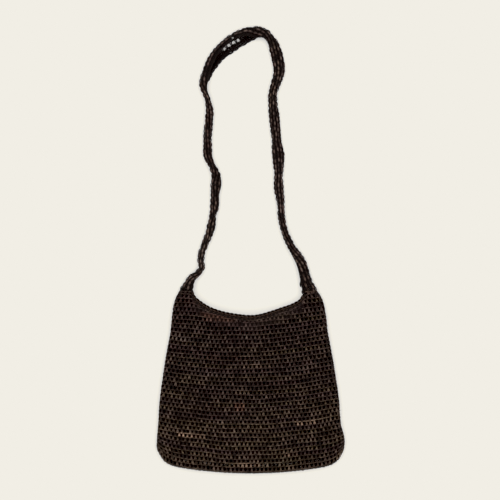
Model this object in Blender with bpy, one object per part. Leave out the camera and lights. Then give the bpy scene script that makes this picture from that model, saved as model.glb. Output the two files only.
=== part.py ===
"""A crocheted string shoulder bag, empty and lying on its back, with its strap laid out above it.

X runs to the right, Y from the base of the bag towards the top of the strap, and Z up from the
surface it lies on. The origin lies on that surface, under the middle of the whole outline.
Everything is in metres. The pouch is one hollow cloth, the strap is one long curled band, and an
edging is worked along the front and the back rim of the mouth.
"""

import math

import bmesh
import bpy
import numpy as np

MM = 0.001

# The cloth: crochet of a 2 mm string is two strings thick.
CLOTH_THICK = 3.6 * MM
SEAT_GAP = 0.3 * MM

# The pouch seen from above. Each row gives a height along Y and the left and right edge there, in mm.
SIDE_COLUMNS = ("y", "left", "right")
SIDES = (
    (-334, -152.6, 153.2),
    (-327, -155.0, 154.8),
    (-314, -154.8, 155.8),
    (-288, -153.0, 150.0),
    (-248, -150.4, 146.8),
    (-209, -145.2, 141.2),
    (-170, -139.2, 134.8),
    (-136, -132.8, 128.2),
    (-106, -129.6, 124.8),
    (-87, -126.4, 120.8),
    (-76, -122.4, 116.2),
    (-67, -117.0, 109.6),
)
# The mouth's rim as the outer line of the edging, from the left shoulder to the right one, in mm.
RIM_COLUMNS = ("x", "y")
RIM = (
    (-94.4, -67.0),
    (-91.4, -75.2),
    (-82.0, -83.6),
    (-69.5, -91.8),
    (-50.0, -99.4),
    (-26.0, -104.4),
    (8.0, -106.6),
    (30.0, -101.2),
    (50.0, -94.6),
    (70.0, -87.2),
    (80.5, -81.0),
    (84.6, -74.0),
    (84.4, -67.0),
)
ROOT_Y = -67 * MM
SHOULDER_Y = -104 * MM

# The base hangs lower in its middle, and its corners are rounded.
BASE_Y = -369.6 * MM
BASE_SAG = 16 * MM
CORNER_RISE = 19 * MM
CORNER_POWER = 18

# Heights of the cloth's middle surface over the table.
FOLD_REACH = 7 * MM
FOLD_HEIGHT = 6.2 * MM
ROOT_HEIGHT = 11 * MM
RIM_HEIGHT = 14.2 * MM
BELLY_HEIGHT = 18.6 * MM
BACK_HEIGHT = CLOTH_THICK / 2

# Soft troughs of the front wall, and one ridge: from x, y to x, y, then half width and depth, in mm.
CREASES = (
    (-108, -90, -52, -178, 17, 1.3),
    (100, -92, 58, -190, 19, 1.2),
    (-128, -300, -40, -336, 15, 0.9),
    (60, -330, 132, -288, 18, 1.0),
    (-20, -150, 30, -142, 12, -0.9),
)

# The edging: one round cord of crochet on each rim, drawn out over a share of its length at each end.
EDGING_RADIUS = 2.3 * MM
EDGING_TIP = 0.45
EDGING_TAPER = 0.08
EDGING_END = 0.2
BACK_RIM_PROUD = 2.6 * MM

# The strap from the left shoulder over the top to the right one, in mm and degrees. wide and high
# are the outer size of its section, open the part of the round that its two edges leave open, and
# faces the way that the opening looks: 0 towards the inside of the loop, 90 up and -90 down.
STRAP_COLUMNS = ("x", "y", "wide", "high", "open", "faces")
STRAP = (
    (-105.7, -66.4, 22.6, 12.8, 120, 0),
    (-102.4, -57.0, 17.8, 12.6, 110, 0),
    (-96.9, -47.4, 14.6, 12.2, 100, -10),
    (-86.3, -38.2, 11.8, 11.6, 84, -45),
    (-80.2, -28.6, 10.8, 11.4, 80, -80),
    (-82.3, -17.3, 11.2, 11.2, 80, -95),
    (-81.0, -7.5, 12.0, 11.0, 84, -100),
    (-74.0, 12.8, 11.8, 11.4, 84, -92),
    (-67.6, 27.5, 14.4, 11.0, 90, -70),
    (-64.0, 42.1, 16.0, 10.6, 98, -60),
    (-62.4, 57.0, 11.6, 11.6, 80, -85),
    (-59.2, 71.8, 16.6, 10.6, 100, -60),
    (-58.4, 91.6, 15.8, 11.0, 96, -50),
    (-56.4, 110.0, 19.6, 10.2, 116, -40),
    (-57.2, 124.0, 16.4, 11.0, 100, -70),
    (-64.5, 141.0, 11.4, 12.0, 80, -100),
    (-70.4, 156.0, 16.4, 10.6, 98, -112),
    (-71.0, 175.0, 14.8, 11.0, 92, -100),
    (-70.3, 195.0, 14.4, 11.0, 92, -90),
    (-67.8, 217.0, 15.2, 11.0, 96, -70),
    (-67.6, 234.0, 13.6, 11.4, 90, -60),
    (-70.5, 250.0, 10.0, 12.2, 80, -55),
    (-75.6, 262.0, 11.8, 12.0, 86, -40),
    (-77.6, 275.0, 15.8, 11.6, 100, -10),
    (-72.6, 289.7, 17.0, 12.0, 118, 10),
    (-62.8, 309.4, 21.8, 12.4, 140, 22),
    (-46.0, 329.6, 25.6, 12.8, 160, 30),
    (-22.8, 346.2, 28.0, 13.0, 168, 30),
    (0.8, 357.3, 23.8, 13.0, 140, 12),
    (13.7, 359.2, 20.0, 12.4, 120, -20),
    (26.0, 355.6, 16.8, 11.4, 118, -50),
    (34.4, 345.6, 16.6, 10.6, 130, -75),
    (40.9, 331.0, 20.2, 9.8, 150, -90),
    (45.6, 311.0, 21.6, 9.4, 160, -92),
    (47.0, 294.0, 19.8, 9.8, 150, -90),
    (42.6, 277.6, 17.4, 10.4, 130, -84),
    (36.9, 259.0, 14.8, 11.2, 110, -80),
    (37.4, 237.0, 17.4, 10.4, 130, -88),
    (40.4, 209.0, 18.4, 10.0, 140, -92),
    (43.4, 178.0, 17.2, 10.4, 130, -96),
    (45.4, 160.0, 21.8, 9.6, 156, -90),
    (46.2, 141.0, 19.2, 10.0, 144, -86),
    (46.4, 126.0, 15.0, 11.0, 110, -84),
    (46.4, 104.0, 17.8, 10.4, 130, -90),
    (49.8, 78.4, 13.4, 11.2, 100, -92),
    (51.8, 48.7, 12.8, 11.2, 92, -88),
    (59.2, 23.0, 12.6, 11.4, 88, -80),
    (71.4, -1.0, 15.2, 11.4, 96, -60),
    (83.0, -20.6, 18.4, 11.6, 108, -30),
    (88.9, -40.4, 18.8, 12.2, 112, -8),
    (92.3, -54.0, 20.6, 12.6, 116, 0),
    (97.0, -66.4, 25.2, 12.8, 120, 0),
)
STRAP_STEP = 7.6 * MM
STRAP_ACROSS = 8

# How finely the pouch is cut up.
FOLD_COLUMNS = 4
SHOULDER_COLUMNS = 2
MOUTH_COLUMNS = 21
BASE_ROWS = 4
WALL_ROWS = 17
EDGING_SIDES = 6


def table(rows, columns, name, unit=1.0):
    """One named column of a table, as an array in the given unit."""
    return np.array([row[columns.index(name)] for row in rows], float) * unit


def through(knots, values, at):
    """A smooth curve through values at growing knots, read at the places at."""
    slopes = np.gradient(values, knots)
    at = np.clip(at, knots[0], knots[-1])
    i = np.clip(np.searchsorted(knots, at) - 1, 0, len(knots) - 2)
    gap = knots[i + 1] - knots[i]
    t = (at - knots[i]) / gap
    return (
        values[i] * (2 * t**3 - 3 * t**2 + 1)
        + values[i + 1] * (3 * t**2 - 2 * t**3)
        + slopes[i] * gap * (t**3 - 2 * t**2 + t)
        + slopes[i + 1] * gap * (t**3 - t**2)
    )


def smooth_step(t):
    """From 0 to 1 with level ends."""
    t = np.clip(t, 0.0, 1.0)
    return t * t * (3 - 2 * t)


def quarter_round(distance, reach):
    """0 at an edge, rising like a quarter of an ellipse to 1 at the given reach from it."""
    u = np.clip(distance / reach, 0.0, 1.0)
    return np.sqrt(np.clip(1 - (1 - u) ** 2, 0.0, 1.0))


def left_normals(line):
    """Unit vectors square to a line seen from above, to the left of its run."""
    along = np.gradient(line[:, :2], axis=0)
    along /= np.linalg.norm(along, axis=1)[:, None]
    return np.stack([-along[:, 1], along[:, 0]], axis=1)


def side_folds(y):
    """Where the middle of the cloth turns over at the left and the right side, at height y."""
    knots = table(SIDES, SIDE_COLUMNS, "y", MM)
    left = through(knots, table(SIDES, SIDE_COLUMNS, "left", MM), y)
    right = through(knots, table(SIDES, SIDE_COLUMNS, "right", MM), y)
    return left + CLOTH_THICK / 2, right - CLOTH_THICK / 2


def base_fold(share):
    """Where the middle of the cloth turns over at the base, at a share of the width from the left."""
    q = np.abs(2 * share - 1)
    return BASE_Y + CLOTH_THICK / 2 + BASE_SAG * q**2 + CORNER_RISE * q**CORNER_POWER


def edging_radius(share):
    """The edging's radius at a share of its length: drawn out towards both ends."""
    full = smooth_step(np.minimum(share, 1 - share) / EDGING_TAPER)
    return EDGING_RADIUS * (EDGING_TIP + (1 - EDGING_TIP) * full)


def mouth_shares():
    """Shares of the mouth's length, from 0 to 1, closer together towards both of its corners."""
    even = np.linspace(0, 1, MOUTH_COLUMNS + 1)
    return (even + smooth_step(even)) / 2


def rim_line(back):
    """The cloth's own edge along the mouth, inside the edging, from the left shoulder to the right."""
    x = table(RIM, RIM_COLUMNS, "x", MM)
    y = table(RIM, RIM_COLUMNS, "y", MM)
    run = np.concatenate([[0.0], np.cumsum(np.hypot(np.diff(x), np.diff(y)))])
    share = mouth_shares()
    outer = np.stack([through(run, x, share * run[-1]), through(run, y, share * run[-1])], axis=1)
    inside = 2 * edging_radius(share) + SEAT_GAP
    if not back:
        inside += BACK_RIM_PROUD * smooth_step(np.minimum(share, 1 - share) / EDGING_TAPER)
    return outer - left_normals(outer) * inside[:, None]


def crease_depth(x, y):
    """How far the soft troughs lower the front wall at a point."""
    depth = np.zeros_like(x)
    for x0, y0, x1, y1, half_width, deep in CREASES:
        start = np.array([x0, y0]) * MM
        run = np.array([x1, y1]) * MM - start
        along = ((x - start[0]) * run[0] + (y - start[1]) * run[1]) / (run @ run)
        held = np.clip(along, 0.0, 1.0)
        off = np.hypot(x - start[0] - held * run[0], y - start[1] - held * run[1])
        depth += deep * MM * np.exp(-((off / (half_width * MM)) ** 2))
    return depth


def wall_height(share, x, y, back):
    """The height of one wall's middle surface at points of the pouch."""
    left, right = side_folds(y)
    side = quarter_round(np.minimum(x - left, right - x), FOLD_REACH)
    base = quarter_round(y - base_fold(share), FOLD_REACH)
    if back:
        return FOLD_HEIGHT + (BACK_HEIGHT - FOLD_HEIGHT) * side * base
    rise = np.clip((y - BASE_Y) / (ROOT_Y - BASE_Y), 0, 1)
    belly = np.sin(math.pi * np.clip(share, 0, 1)) ** 0.7 * np.sin(math.pi * 0.86 * rise) ** 0.8
    shoulder = smooth_step((y - SHOULDER_Y) / (ROOT_Y - SHOULDER_Y))
    flat = RIM_HEIGHT + (ROOT_HEIGHT - RIM_HEIGHT) * shoulder + (BELLY_HEIGHT - RIM_HEIGHT) * belly
    return FOLD_HEIGHT + (flat - crease_depth(x, y) - FOLD_HEIGHT) * side * base


def wall_grid(back):
    """The middle surface of one wall: rows from the base to the top, columns from left to right.

    The columns at the top are those of the left shoulder, the mouth and the right shoulder. They
    spread out evenly towards the base, where both walls meet in the same points.
    """
    turns = np.linspace(0, math.pi / 2, FOLD_COLUMNS + 1)
    fold = FOLD_REACH * (1 - np.cos(turns))
    rim = rim_line(back)
    left, right = side_folds(ROOT_Y)
    left_shoulder = np.linspace(left + FOLD_REACH, rim[0, 0], SHOULDER_COLUMNS + 1)[1:-1]
    right_shoulder = np.linspace(rim[-1, 0], right - FOLD_REACH, SHOULDER_COLUMNS + 1)[1:-1]
    x = np.concatenate([left + fold, left_shoulder, rim[:, 0], right_shoulder, right - fold[::-1]])
    top = np.full_like(x, ROOT_Y)
    first = FOLD_COLUMNS + SHOULDER_COLUMNS
    top[first:first + len(rim)] = np.minimum(rim[:, 1], ROOT_Y)
    left, right = side_folds(top)
    top_share = (x - left) / (right - left)
    left, right = side_folds(BASE_Y)
    fold_share = fold / (right - left)
    between = np.linspace(fold_share[-1], 1 - fold_share[-1], len(x) - 2 * FOLD_COLUMNS)
    base_share = np.concatenate([fold_share[:-1], between, 1 - fold_share[-2::-1]])
    lift = FOLD_REACH * (1 - np.cos(np.linspace(0, math.pi / 2, BASE_ROWS + 1)))
    rise = np.concatenate([np.zeros(BASE_ROWS), np.linspace(0, 1, WALL_ROWS + 1)])[:, None]
    lift = np.concatenate([lift, np.full(WALL_ROWS, FOLD_REACH)])[:, None]
    bottom = base_fold(base_share)
    y = bottom + lift + rise * (top - bottom - FOLD_REACH)
    share = base_share + (top_share - base_share) * smooth_step(rise)
    left, right = side_folds(y)
    x = left + share * (right - left)
    height = wall_height(np.broadcast_to(base_share, x.shape), x, y, back)
    return np.stack([x, y, height], axis=2)


def mesh_object(name, points, faces, material, thick=None):
    """A mesh object with doubles merged, facing outwards, and given a thickness if it is a sheet."""
    mesh = bpy.data.meshes.new(name)
    mesh.from_pydata([tuple(map(float, p)) for p in points], [], faces)
    work = bmesh.new()
    work.from_mesh(mesh)
    bmesh.ops.remove_doubles(work, verts=work.verts, dist=0.00001)
    bmesh.ops.recalc_face_normals(work, faces=work.faces)
    work.to_mesh(mesh)
    work.free()
    mesh.shade_smooth()
    mesh.materials.append(material)
    shape = bpy.data.objects.new(name, mesh)
    bpy.context.scene.collection.objects.link(shape)
    if thick:
        solidify = shape.modifiers.new("cloth thickness", "SOLIDIFY")
        solidify.thickness = thick
        solidify.offset = 0.0
    return shape


def grid_faces(rows, columns, start=0, flipped=False):
    """The four-cornered faces of a grid whose points are stored row by row."""
    a = start + np.arange(rows - 1)[:, None] * columns + np.arange(columns - 1)
    faces = np.stack([a, a + 1, a + columns + 1, a + columns], axis=2).reshape(-1, 4)
    return (faces[:, ::-1] if flipped else faces).tolist()


def string_material(name, colour):
    """Matte dyed string."""
    material = bpy.data.materials.new(name)
    material.use_nodes = True
    shader = material.node_tree.nodes["Principled BSDF"]
    shader.inputs["Base Color"].default_value = (*colour, 1.0)
    shader.inputs["Roughness"].default_value = 0.85
    return material


def make_pouch():
    """The bag's body: front and back wall of one cloth, folded at the sides and the base."""
    material = string_material("pouch string", (0.018, 0.011, 0.008))
    front = wall_grid(back=False)
    back = wall_grid(back=True)
    rows, columns = front.shape[:2]
    points = np.concatenate([front.reshape(-1, 3), back.reshape(-1, 3)])
    faces = grid_faces(rows, columns) + grid_faces(rows, columns, rows * columns, flipped=True)
    return mesh_object("pouch", points, faces, material, CLOTH_THICK)


def make_edging(name, back):
    """A round edging along the cloth's edge at one side of the mouth, closed at both ends."""
    material = string_material(name.replace("_", " ") + " string", (0.024, 0.014, 0.008))
    rim = np.zeros((MOUTH_COLUMNS + 1, 3))
    rim[:, :2] = rim_line(back)
    first = FOLD_COLUMNS + SHOULDER_COLUMNS
    rim[:, 2] = wall_grid(back)[-1, first:first + len(rim), 2]
    radius = edging_radius(mouth_shares())
    outwards = np.zeros_like(rim)
    outwards[:, :2] = left_normals(rim)
    line = rim + outwards * (radius + SEAT_GAP)[:, None]
    line[:, 2] = np.maximum(line[:, 2], radius)
    line[0] += (line[1] - line[0]) * EDGING_END
    line[-1] += (line[-2] - line[-1]) * EDGING_END
    turn = np.linspace(0, 2 * math.pi, EDGING_SIDES + 1)
    upwards = np.array([0, 0, 1.0])
    ring = np.cos(turn)[:, None] * outwards[:, None, :] + np.sin(turn)[:, None] * upwards
    points = line[:, None, :] + ring * radius[:, None, None]
    faces = grid_faces(len(rim), EDGING_SIDES + 1)
    last = (len(rim) - 1) * (EDGING_SIDES + 1)
    faces.append(list(range(EDGING_SIDES)))
    faces.append(list(range(last, last + EDGING_SIDES))[::-1])
    return mesh_object(name, points.reshape(-1, 3), faces, material)


def strap_sections(across):
    """Points of the band's middle surface: one section for each station, from one edge to the other.

    A section is the part of an ellipse that the opening leaves, stretched to its outer width and
    height less the cloth's thickness, and set down on the table.
    """
    x = table(STRAP, STRAP_COLUMNS, "x", MM)
    y = table(STRAP, STRAP_COLUMNS, "y", MM)
    run = np.concatenate([[0.0], np.cumsum(np.hypot(np.diff(x), np.diff(y)))])
    at = np.linspace(0, run[-1], round(run[-1] / STRAP_STEP) + 1)
    place = np.stack([through(run, x, at), through(run, y, at)], axis=1)
    wide = through(run, table(STRAP, STRAP_COLUMNS, "wide", MM), at) - CLOTH_THICK
    high = through(run, table(STRAP, STRAP_COLUMNS, "high", MM), at) - CLOTH_THICK
    gap = through(run, np.radians(table(STRAP, STRAP_COLUMNS, "open")), at)
    faces = through(run, np.radians(table(STRAP, STRAP_COLUMNS, "faces")), at)
    share = np.linspace(0, 1, across + 1)
    turn = (faces + gap / 2)[:, None] + (2 * math.pi - gap)[:, None] * share
    sideways = np.cos(turn)
    upwards = np.sin(turn)
    low, far = sideways.min(axis=1), sideways.max(axis=1)
    sideways = (sideways - ((low + far) / 2)[:, None]) * (wide / (far - low))[:, None]
    low, far = upwards.min(axis=1), upwards.max(axis=1)
    upwards = (upwards - low[:, None]) * (high / (far - low))[:, None] + CLOTH_THICK / 2
    inwards = -left_normals(place)
    inwards[0] = (1, 0)
    inwards[-1] = (-1, 0)
    flat = place[:, None, :] + sideways[:, :, None] * inwards[:, None, :]
    return np.concatenate([flat, upwards[:, :, None]], axis=2)


def make_strap():
    """The strap: one crocheted band, curled lengthways, lying on the table between its two roots."""
    material = string_material("strap string", (0.019, 0.012, 0.010))
    sections = strap_sections(STRAP_ACROSS)
    faces = grid_faces(*sections.shape[:2])
    return mesh_object("strap", sections.reshape(-1, 3), faces, material, CLOTH_THICK)


def main():
    for old in list(bpy.data.objects):
        bpy.data.objects.remove(old)
    make_pouch()
    make_edging("front_edging", back=False)
    make_edging("back_edging", back=True)
    make_strap()


main()
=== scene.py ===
"""A crocheted string shoulder bag, worked stitch by stitch around its plain solids.

The pouch is one hollow cloth of single crochet in dark twisted string, worked in rounds from the
base to the scooped mouth. An edging of slip stitches runs along the front and the back rim, and the
strap is a narrow band of six lengthwise rows, curled and laid out in a loose arch. Every string is
a round tube that follows the real path of its stitch, on a surface that the solids share.

Lengths are in millimetres up to the point where a mesh is made. X runs to the right, Y from the base
towards the top of the strap, and Z up from the surface that the bag lies on.
"""

from __future__ import annotations

import logging
import math
from collections.abc import Callable
from dataclasses import dataclass, field
from enum import Enum

import bpy
import numpy as np
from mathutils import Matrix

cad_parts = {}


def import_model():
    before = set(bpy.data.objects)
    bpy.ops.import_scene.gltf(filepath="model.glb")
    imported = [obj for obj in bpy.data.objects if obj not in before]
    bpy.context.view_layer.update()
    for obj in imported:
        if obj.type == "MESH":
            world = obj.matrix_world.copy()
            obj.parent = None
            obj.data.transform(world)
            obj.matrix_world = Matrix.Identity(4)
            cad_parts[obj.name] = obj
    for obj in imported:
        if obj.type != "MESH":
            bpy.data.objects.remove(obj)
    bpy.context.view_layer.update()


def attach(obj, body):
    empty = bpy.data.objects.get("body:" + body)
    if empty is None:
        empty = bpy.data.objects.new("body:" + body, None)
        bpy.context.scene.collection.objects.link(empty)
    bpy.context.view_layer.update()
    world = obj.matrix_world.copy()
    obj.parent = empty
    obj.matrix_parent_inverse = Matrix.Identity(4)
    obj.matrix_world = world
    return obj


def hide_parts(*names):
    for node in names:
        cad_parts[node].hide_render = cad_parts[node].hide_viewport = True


LOG = logging.getLogger("string_bag")
METRE = 0.001
WAVES = 7
WAVE_RATES = (0.6, 1.9)
Array = np.ndarray

# The plan of the pouch, in mm: a height along Y with the left and the right edge there, and the
# outer line of the mouth from the left shoulder to the right one.
SIDE_COLUMNS = ("y", "left", "right")
SIDES = (
    (-334, -152.6, 153.2),
    (-327, -155.0, 154.8),
    (-314, -154.8, 155.8),
    (-288, -153.0, 150.0),
    (-248, -150.4, 146.8),
    (-209, -145.2, 141.2),
    (-170, -139.2, 134.8),
    (-136, -132.8, 128.2),
    (-106, -129.6, 124.8),
    (-87, -126.4, 120.8),
    (-76, -122.4, 116.2),
    (-67, -117.0, 109.6),
)
RIM_COLUMNS = ("x", "y")
RIM = (
    (-94.4, -67.0),
    (-91.4, -75.2),
    (-82.0, -83.6),
    (-69.5, -91.8),
    (-50.0, -99.4),
    (-26.0, -104.4),
    (8.0, -106.6),
    (30.0, -101.2),
    (50.0, -94.6),
    (70.0, -87.2),
    (80.5, -81.0),
    (84.6, -74.0),
    (84.4, -67.0),
)

# Soft troughs of the front wall, and one ridge: from x, y to x, y, then half width and depth, in mm.
CREASES = (
    (-108, -90, -52, -178, 17, 1.3),
    (100, -92, 58, -190, 19, 1.2),
    (-128, -300, -40, -336, 15, 0.9),
    (60, -330, 132, -288, 18, 1.0),
    (-20, -150, 30, -142, 12, -0.9),
)

# The strap from the left shoulder over the top to the right one, in mm and degrees. wide and high
# are the outer size of its section, open the part of the round that its two edges leave open, and
# faces the way that the opening looks: 0 towards the inside of the loop, 90 up and -90 down.
STRAP_COLUMNS = ("x", "y", "wide", "high", "open", "faces")
STRAP = (
    (-105.7, -66.4, 22.6, 12.8, 120, 0),
    (-102.4, -57.0, 17.8, 12.6, 110, 0),
    (-96.9, -47.4, 14.6, 12.2, 100, -10),
    (-86.3, -38.2, 11.8, 11.6, 84, -45),
    (-80.2, -28.6, 10.8, 11.4, 80, -80),
    (-82.3, -17.3, 11.2, 11.2, 80, -95),
    (-81.0, -7.5, 12.0, 11.0, 84, -100),
    (-74.0, 12.8, 11.8, 11.4, 84, -92),
    (-67.6, 27.5, 14.4, 11.0, 90, -70),
    (-64.0, 42.1, 16.0, 10.6, 98, -60),
    (-62.4, 57.0, 11.6, 11.6, 80, -85),
    (-59.2, 71.8, 16.6, 10.6, 100, -60),
    (-58.4, 91.6, 15.8, 11.0, 96, -50),
    (-56.4, 110.0, 19.6, 10.2, 116, -40),
    (-57.2, 124.0, 16.4, 11.0, 100, -70),
    (-64.5, 141.0, 11.4, 12.0, 80, -100),
    (-70.4, 156.0, 16.4, 10.6, 98, -112),
    (-71.0, 175.0, 14.8, 11.0, 92, -100),
    (-70.3, 195.0, 14.4, 11.0, 92, -90),
    (-67.8, 217.0, 15.2, 11.0, 96, -70),
    (-67.6, 234.0, 13.6, 11.4, 90, -60),
    (-70.5, 250.0, 10.0, 12.2, 80, -55),
    (-75.6, 262.0, 11.8, 12.0, 86, -40),
    (-77.6, 275.0, 15.8, 11.6, 100, -10),
    (-72.6, 289.7, 17.0, 12.0, 118, 10),
    (-62.8, 309.4, 21.8, 12.4, 140, 22),
    (-46.0, 329.6, 25.6, 12.8, 160, 30),
    (-22.8, 346.2, 28.0, 13.0, 168, 30),
    (0.8, 357.3, 23.8, 13.0, 140, 12),
    (13.7, 359.2, 20.0, 12.4, 120, -20),
    (26.0, 355.6, 16.8, 11.4, 118, -50),
    (34.4, 345.6, 16.6, 10.6, 130, -75),
    (40.9, 331.0, 20.2, 9.8, 150, -90),
    (45.6, 311.0, 21.6, 9.4, 160, -92),
    (47.0, 294.0, 19.8, 9.8, 150, -90),
    (42.6, 277.6, 17.4, 10.4, 130, -84),
    (36.9, 259.0, 14.8, 11.2, 110, -80),
    (37.4, 237.0, 17.4, 10.4, 130, -88),
    (40.4, 209.0, 18.4, 10.0, 140, -92),
    (43.4, 178.0, 17.2, 10.4, 130, -96),
    (45.4, 160.0, 21.8, 9.6, 156, -90),
    (46.2, 141.0, 19.2, 10.0, 144, -86),
    (46.4, 126.0, 15.0, 11.0, 110, -84),
    (46.4, 104.0, 17.8, 10.4, 130, -90),
    (49.8, 78.4, 13.4, 11.2, 100, -92),
    (51.8, 48.7, 12.8, 11.2, 92, -88),
    (59.2, 23.0, 12.6, 11.4, 88, -80),
    (71.4, -1.0, 15.2, 11.4, 96, -60),
    (83.0, -20.6, 18.4, 11.6, 108, -30),
    (88.9, -40.4, 18.8, 12.2, 112, -8),
    (92.3, -54.0, 20.6, 12.6, 116, 0),
    (97.0, -66.4, 25.2, 12.8, 120, 0),
)


def column(rows: tuple, names: tuple, name: str) -> Array:
    """One named column of a table of numbers."""
    return np.array([row[names.index(name)] for row in rows], float)


def through(knots: Array, values: Array, at: Array) -> Array:
    """A smooth curve through given values.

    Args:
        knots: growing places at which the values are known.
        values: the values there.
        at: the places to read.

    Returns:
        A cubic between each two knots, whose slope at a knot is that of its two neighbours.
    """
    slopes = np.gradient(values, knots)
    at = np.clip(at, knots[0], knots[-1])
    i = np.clip(np.searchsorted(knots, at) - 1, 0, len(knots) - 2)
    gap = knots[i + 1] - knots[i]
    t = (at - knots[i]) / gap
    return (
        values[i] * (2 * t**3 - 3 * t**2 + 1)
        + values[i + 1] * (3 * t**2 - 2 * t**3)
        + slopes[i] * gap * (t**3 - 2 * t**2 + t)
        + slopes[i + 1] * gap * (t**3 - t**2)
    )


def smooth_step(t: Array) -> Array:
    """From 0 to 1 with level ends: three times t squared less twice t cubed."""
    t = np.clip(t, 0.0, 1.0)
    return t * t * (3 - 2 * t)


def quarter_round(distance: Array, reach: float) -> Array:
    """A quarter of an ellipse: 0 at an edge, and 1 from the given reach onwards."""
    u = np.clip(distance / reach, 0.0, 1.0)
    return np.sqrt(np.clip(1 - (1 - u) ** 2, 0.0, 1.0))


def left_normals(line: Array) -> Array:
    """Unit vectors square to a line seen from above.

    Args:
        line: points, with x and y first.

    Returns:
        The line's direction in plan, turned a quarter to the left.
    """
    along = np.gradient(line[:, :2], axis=0)
    along /= np.linalg.norm(along, axis=1)[:, None]
    return np.stack([-along[:, 1], along[:, 0]], axis=1)


def run_lengths(line: Array) -> Array:
    """How far along a line each of its points lies, from 0 at the first."""
    steps = np.linalg.norm(np.diff(line, axis=0), axis=1)
    return np.concatenate([[0.0], np.cumsum(steps)])


def unit(vectors: Array) -> Array:
    """Vectors of length 1 along the last axis, and 0 where there is no direction."""
    size = np.linalg.norm(vectors, axis=-1, keepdims=True)
    return vectors / np.maximum(size, 1e-9)


def wander(x: Array, y: Array, seed: int) -> Array:
    """Smooth unevenness, mostly between -1 and 1.

    Args:
        x, y: places, in units of which the unevenness has a length of a few.
        seed: which pattern.

    Returns:
        The sum of plane sine waves of random direction, rate and start, over the root of half their
        number.
    """
    rng = np.random.default_rng(seed)
    total = np.zeros(np.broadcast(x, y).shape)
    for _ in range(WAVES):
        turn, start = rng.uniform(0, 2 * math.pi, 2)
        rate = rng.uniform(*WAVE_RATES)
        total += np.sin((x * math.cos(turn) + y * math.sin(turn)) * rate + start)
    return total / math.sqrt(2 * WAVES)


def rings_around(
    path: Array, reference: Array, radii: Array, sides: int, closed: bool = False
) -> tuple[Array, Array]:
    """Rings of points around a path.

    Args:
        path: the string's middle, as (ring, xyz).
        reference: the way that each ring's first point looks, before it is squared to the path.
        radii: the string's radius at each ring.
        sides: how many points a ring has.
        closed: whether the path closes on itself.

    Returns:
        Points as (ring, side, xyz), the centre plus the radius times cosine and sine of the turn,
        and the directions from the centre to them.
    """
    if closed:
        tangents = unit(np.roll(path, -1, axis=0) - np.roll(path, 1, axis=0))
    else:
        tangents = unit(np.gradient(path, axis=0))
    first = unit(reference - (reference * tangents).sum(axis=1)[:, None] * tangents)
    second = np.cross(tangents, first)
    turn = 2 * math.pi * np.arange(sides) / sides
    ring = (
        np.cos(turn)[None, :, None] * first[:, None, :]
        + np.sin(turn)[None, :, None] * second[:, None, :]
    )
    return path[:, None, :] + ring * radii[:, None, None], ring


@dataclass
class ClothSurface:
    """A smooth surface that string is worked on, known on a fine grid.

    Grid rows are fractions of a crochet row, and grid columns follow the run of a row. Between its
    points the surface is a blend of the four nearest ones. highest is the row at which the cloth
    ends in each grid column, where that isn't its last one.
    """

    points: Array
    first_row: float
    row_step: float
    closed: bool
    highest: Array | None = None

    LAST_CELL = 1.001
    SOFTNESS = 0.3

    def __post_init__(self) -> None:
        """Works out the three directions of the surface at every grid point."""
        if self.closed:
            along = np.roll(self.points, -1, axis=1) - np.roll(self.points, 1, axis=1)
        else:
            along = np.gradient(self.points, axis=1)
        across = np.gradient(self.points, axis=0)
        self.along = unit(along)
        self.outwards = unit(np.cross(along, across))
        self.across = np.cross(self.outwards, self.along)

    def read(self, grid: Array, row: Array, place: Array) -> Array:
        """Reads a grid between its points.

        Args:
            grid: values at the grid points.
            row: crochet rows.
            place: column places.

        Returns:
            The four nearest values, each times the share of the cell that lies across from it.
        """
        rows, columns = grid.shape[:2]
        r = np.clip((row - self.first_row) / self.row_step, 0, rows - self.LAST_CELL)
        if self.closed:
            c = np.mod(place, columns)
            left = np.floor(c).astype(int) % columns
            right = (left + 1) % columns
            c = c - np.floor(c)
        else:
            c = np.clip(place, 0, columns - self.LAST_CELL)
            left = np.floor(c).astype(int)
            right = left + 1
            c = c - left
        low = np.floor(r).astype(int)
        r = (r - low)[..., None]
        c = c[..., None]
        return (
            grid[low, left] * (1 - r) * (1 - c)
            + grid[low, right] * (1 - r) * c
            + grid[low + 1, left] * r * (1 - c)
            + grid[low + 1, right] * r * c
        )

    def row_lengths(self, row: float) -> Array:
        """How far along a crochet row's line each grid column lies.

        Args:
            row: the crochet row.

        Returns:
            The sum of the steps before each column. On a closed surface the first column comes again
            at the end, and a step counts as the mean of itself and its mirror image, so that stitches
            on both walls lie in step.
        """
        columns = self.points.shape[1]
        at = np.arange(columns + 1 if self.closed else columns, dtype=float)
        steps = np.diff(run_lengths(self.read(self.points, np.full(len(at), row), at)))
        if self.closed:
            steps = (steps + steps[::-1]) / 2
        return np.concatenate([[0.0], np.cumsum(steps)])

    def held_row(self, row: Array, place: Array) -> Array:
        """Keeps rows below the cloth's own edge.

        Args:
            row: crochet rows.
            place: column places.

        Returns:
            The smaller of the row and the edge, rounded where they cross.
        """
        if self.highest is None:
            return row
        edge = np.interp(
            np.mod(place, len(self.highest)),
            np.arange(len(self.highest) + 1),
            np.append(self.highest, self.highest[0]),
        )
        return edge - self.SOFTNESS * np.logaddexp(0.0, (edge - row) / self.SOFTNESS)


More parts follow.
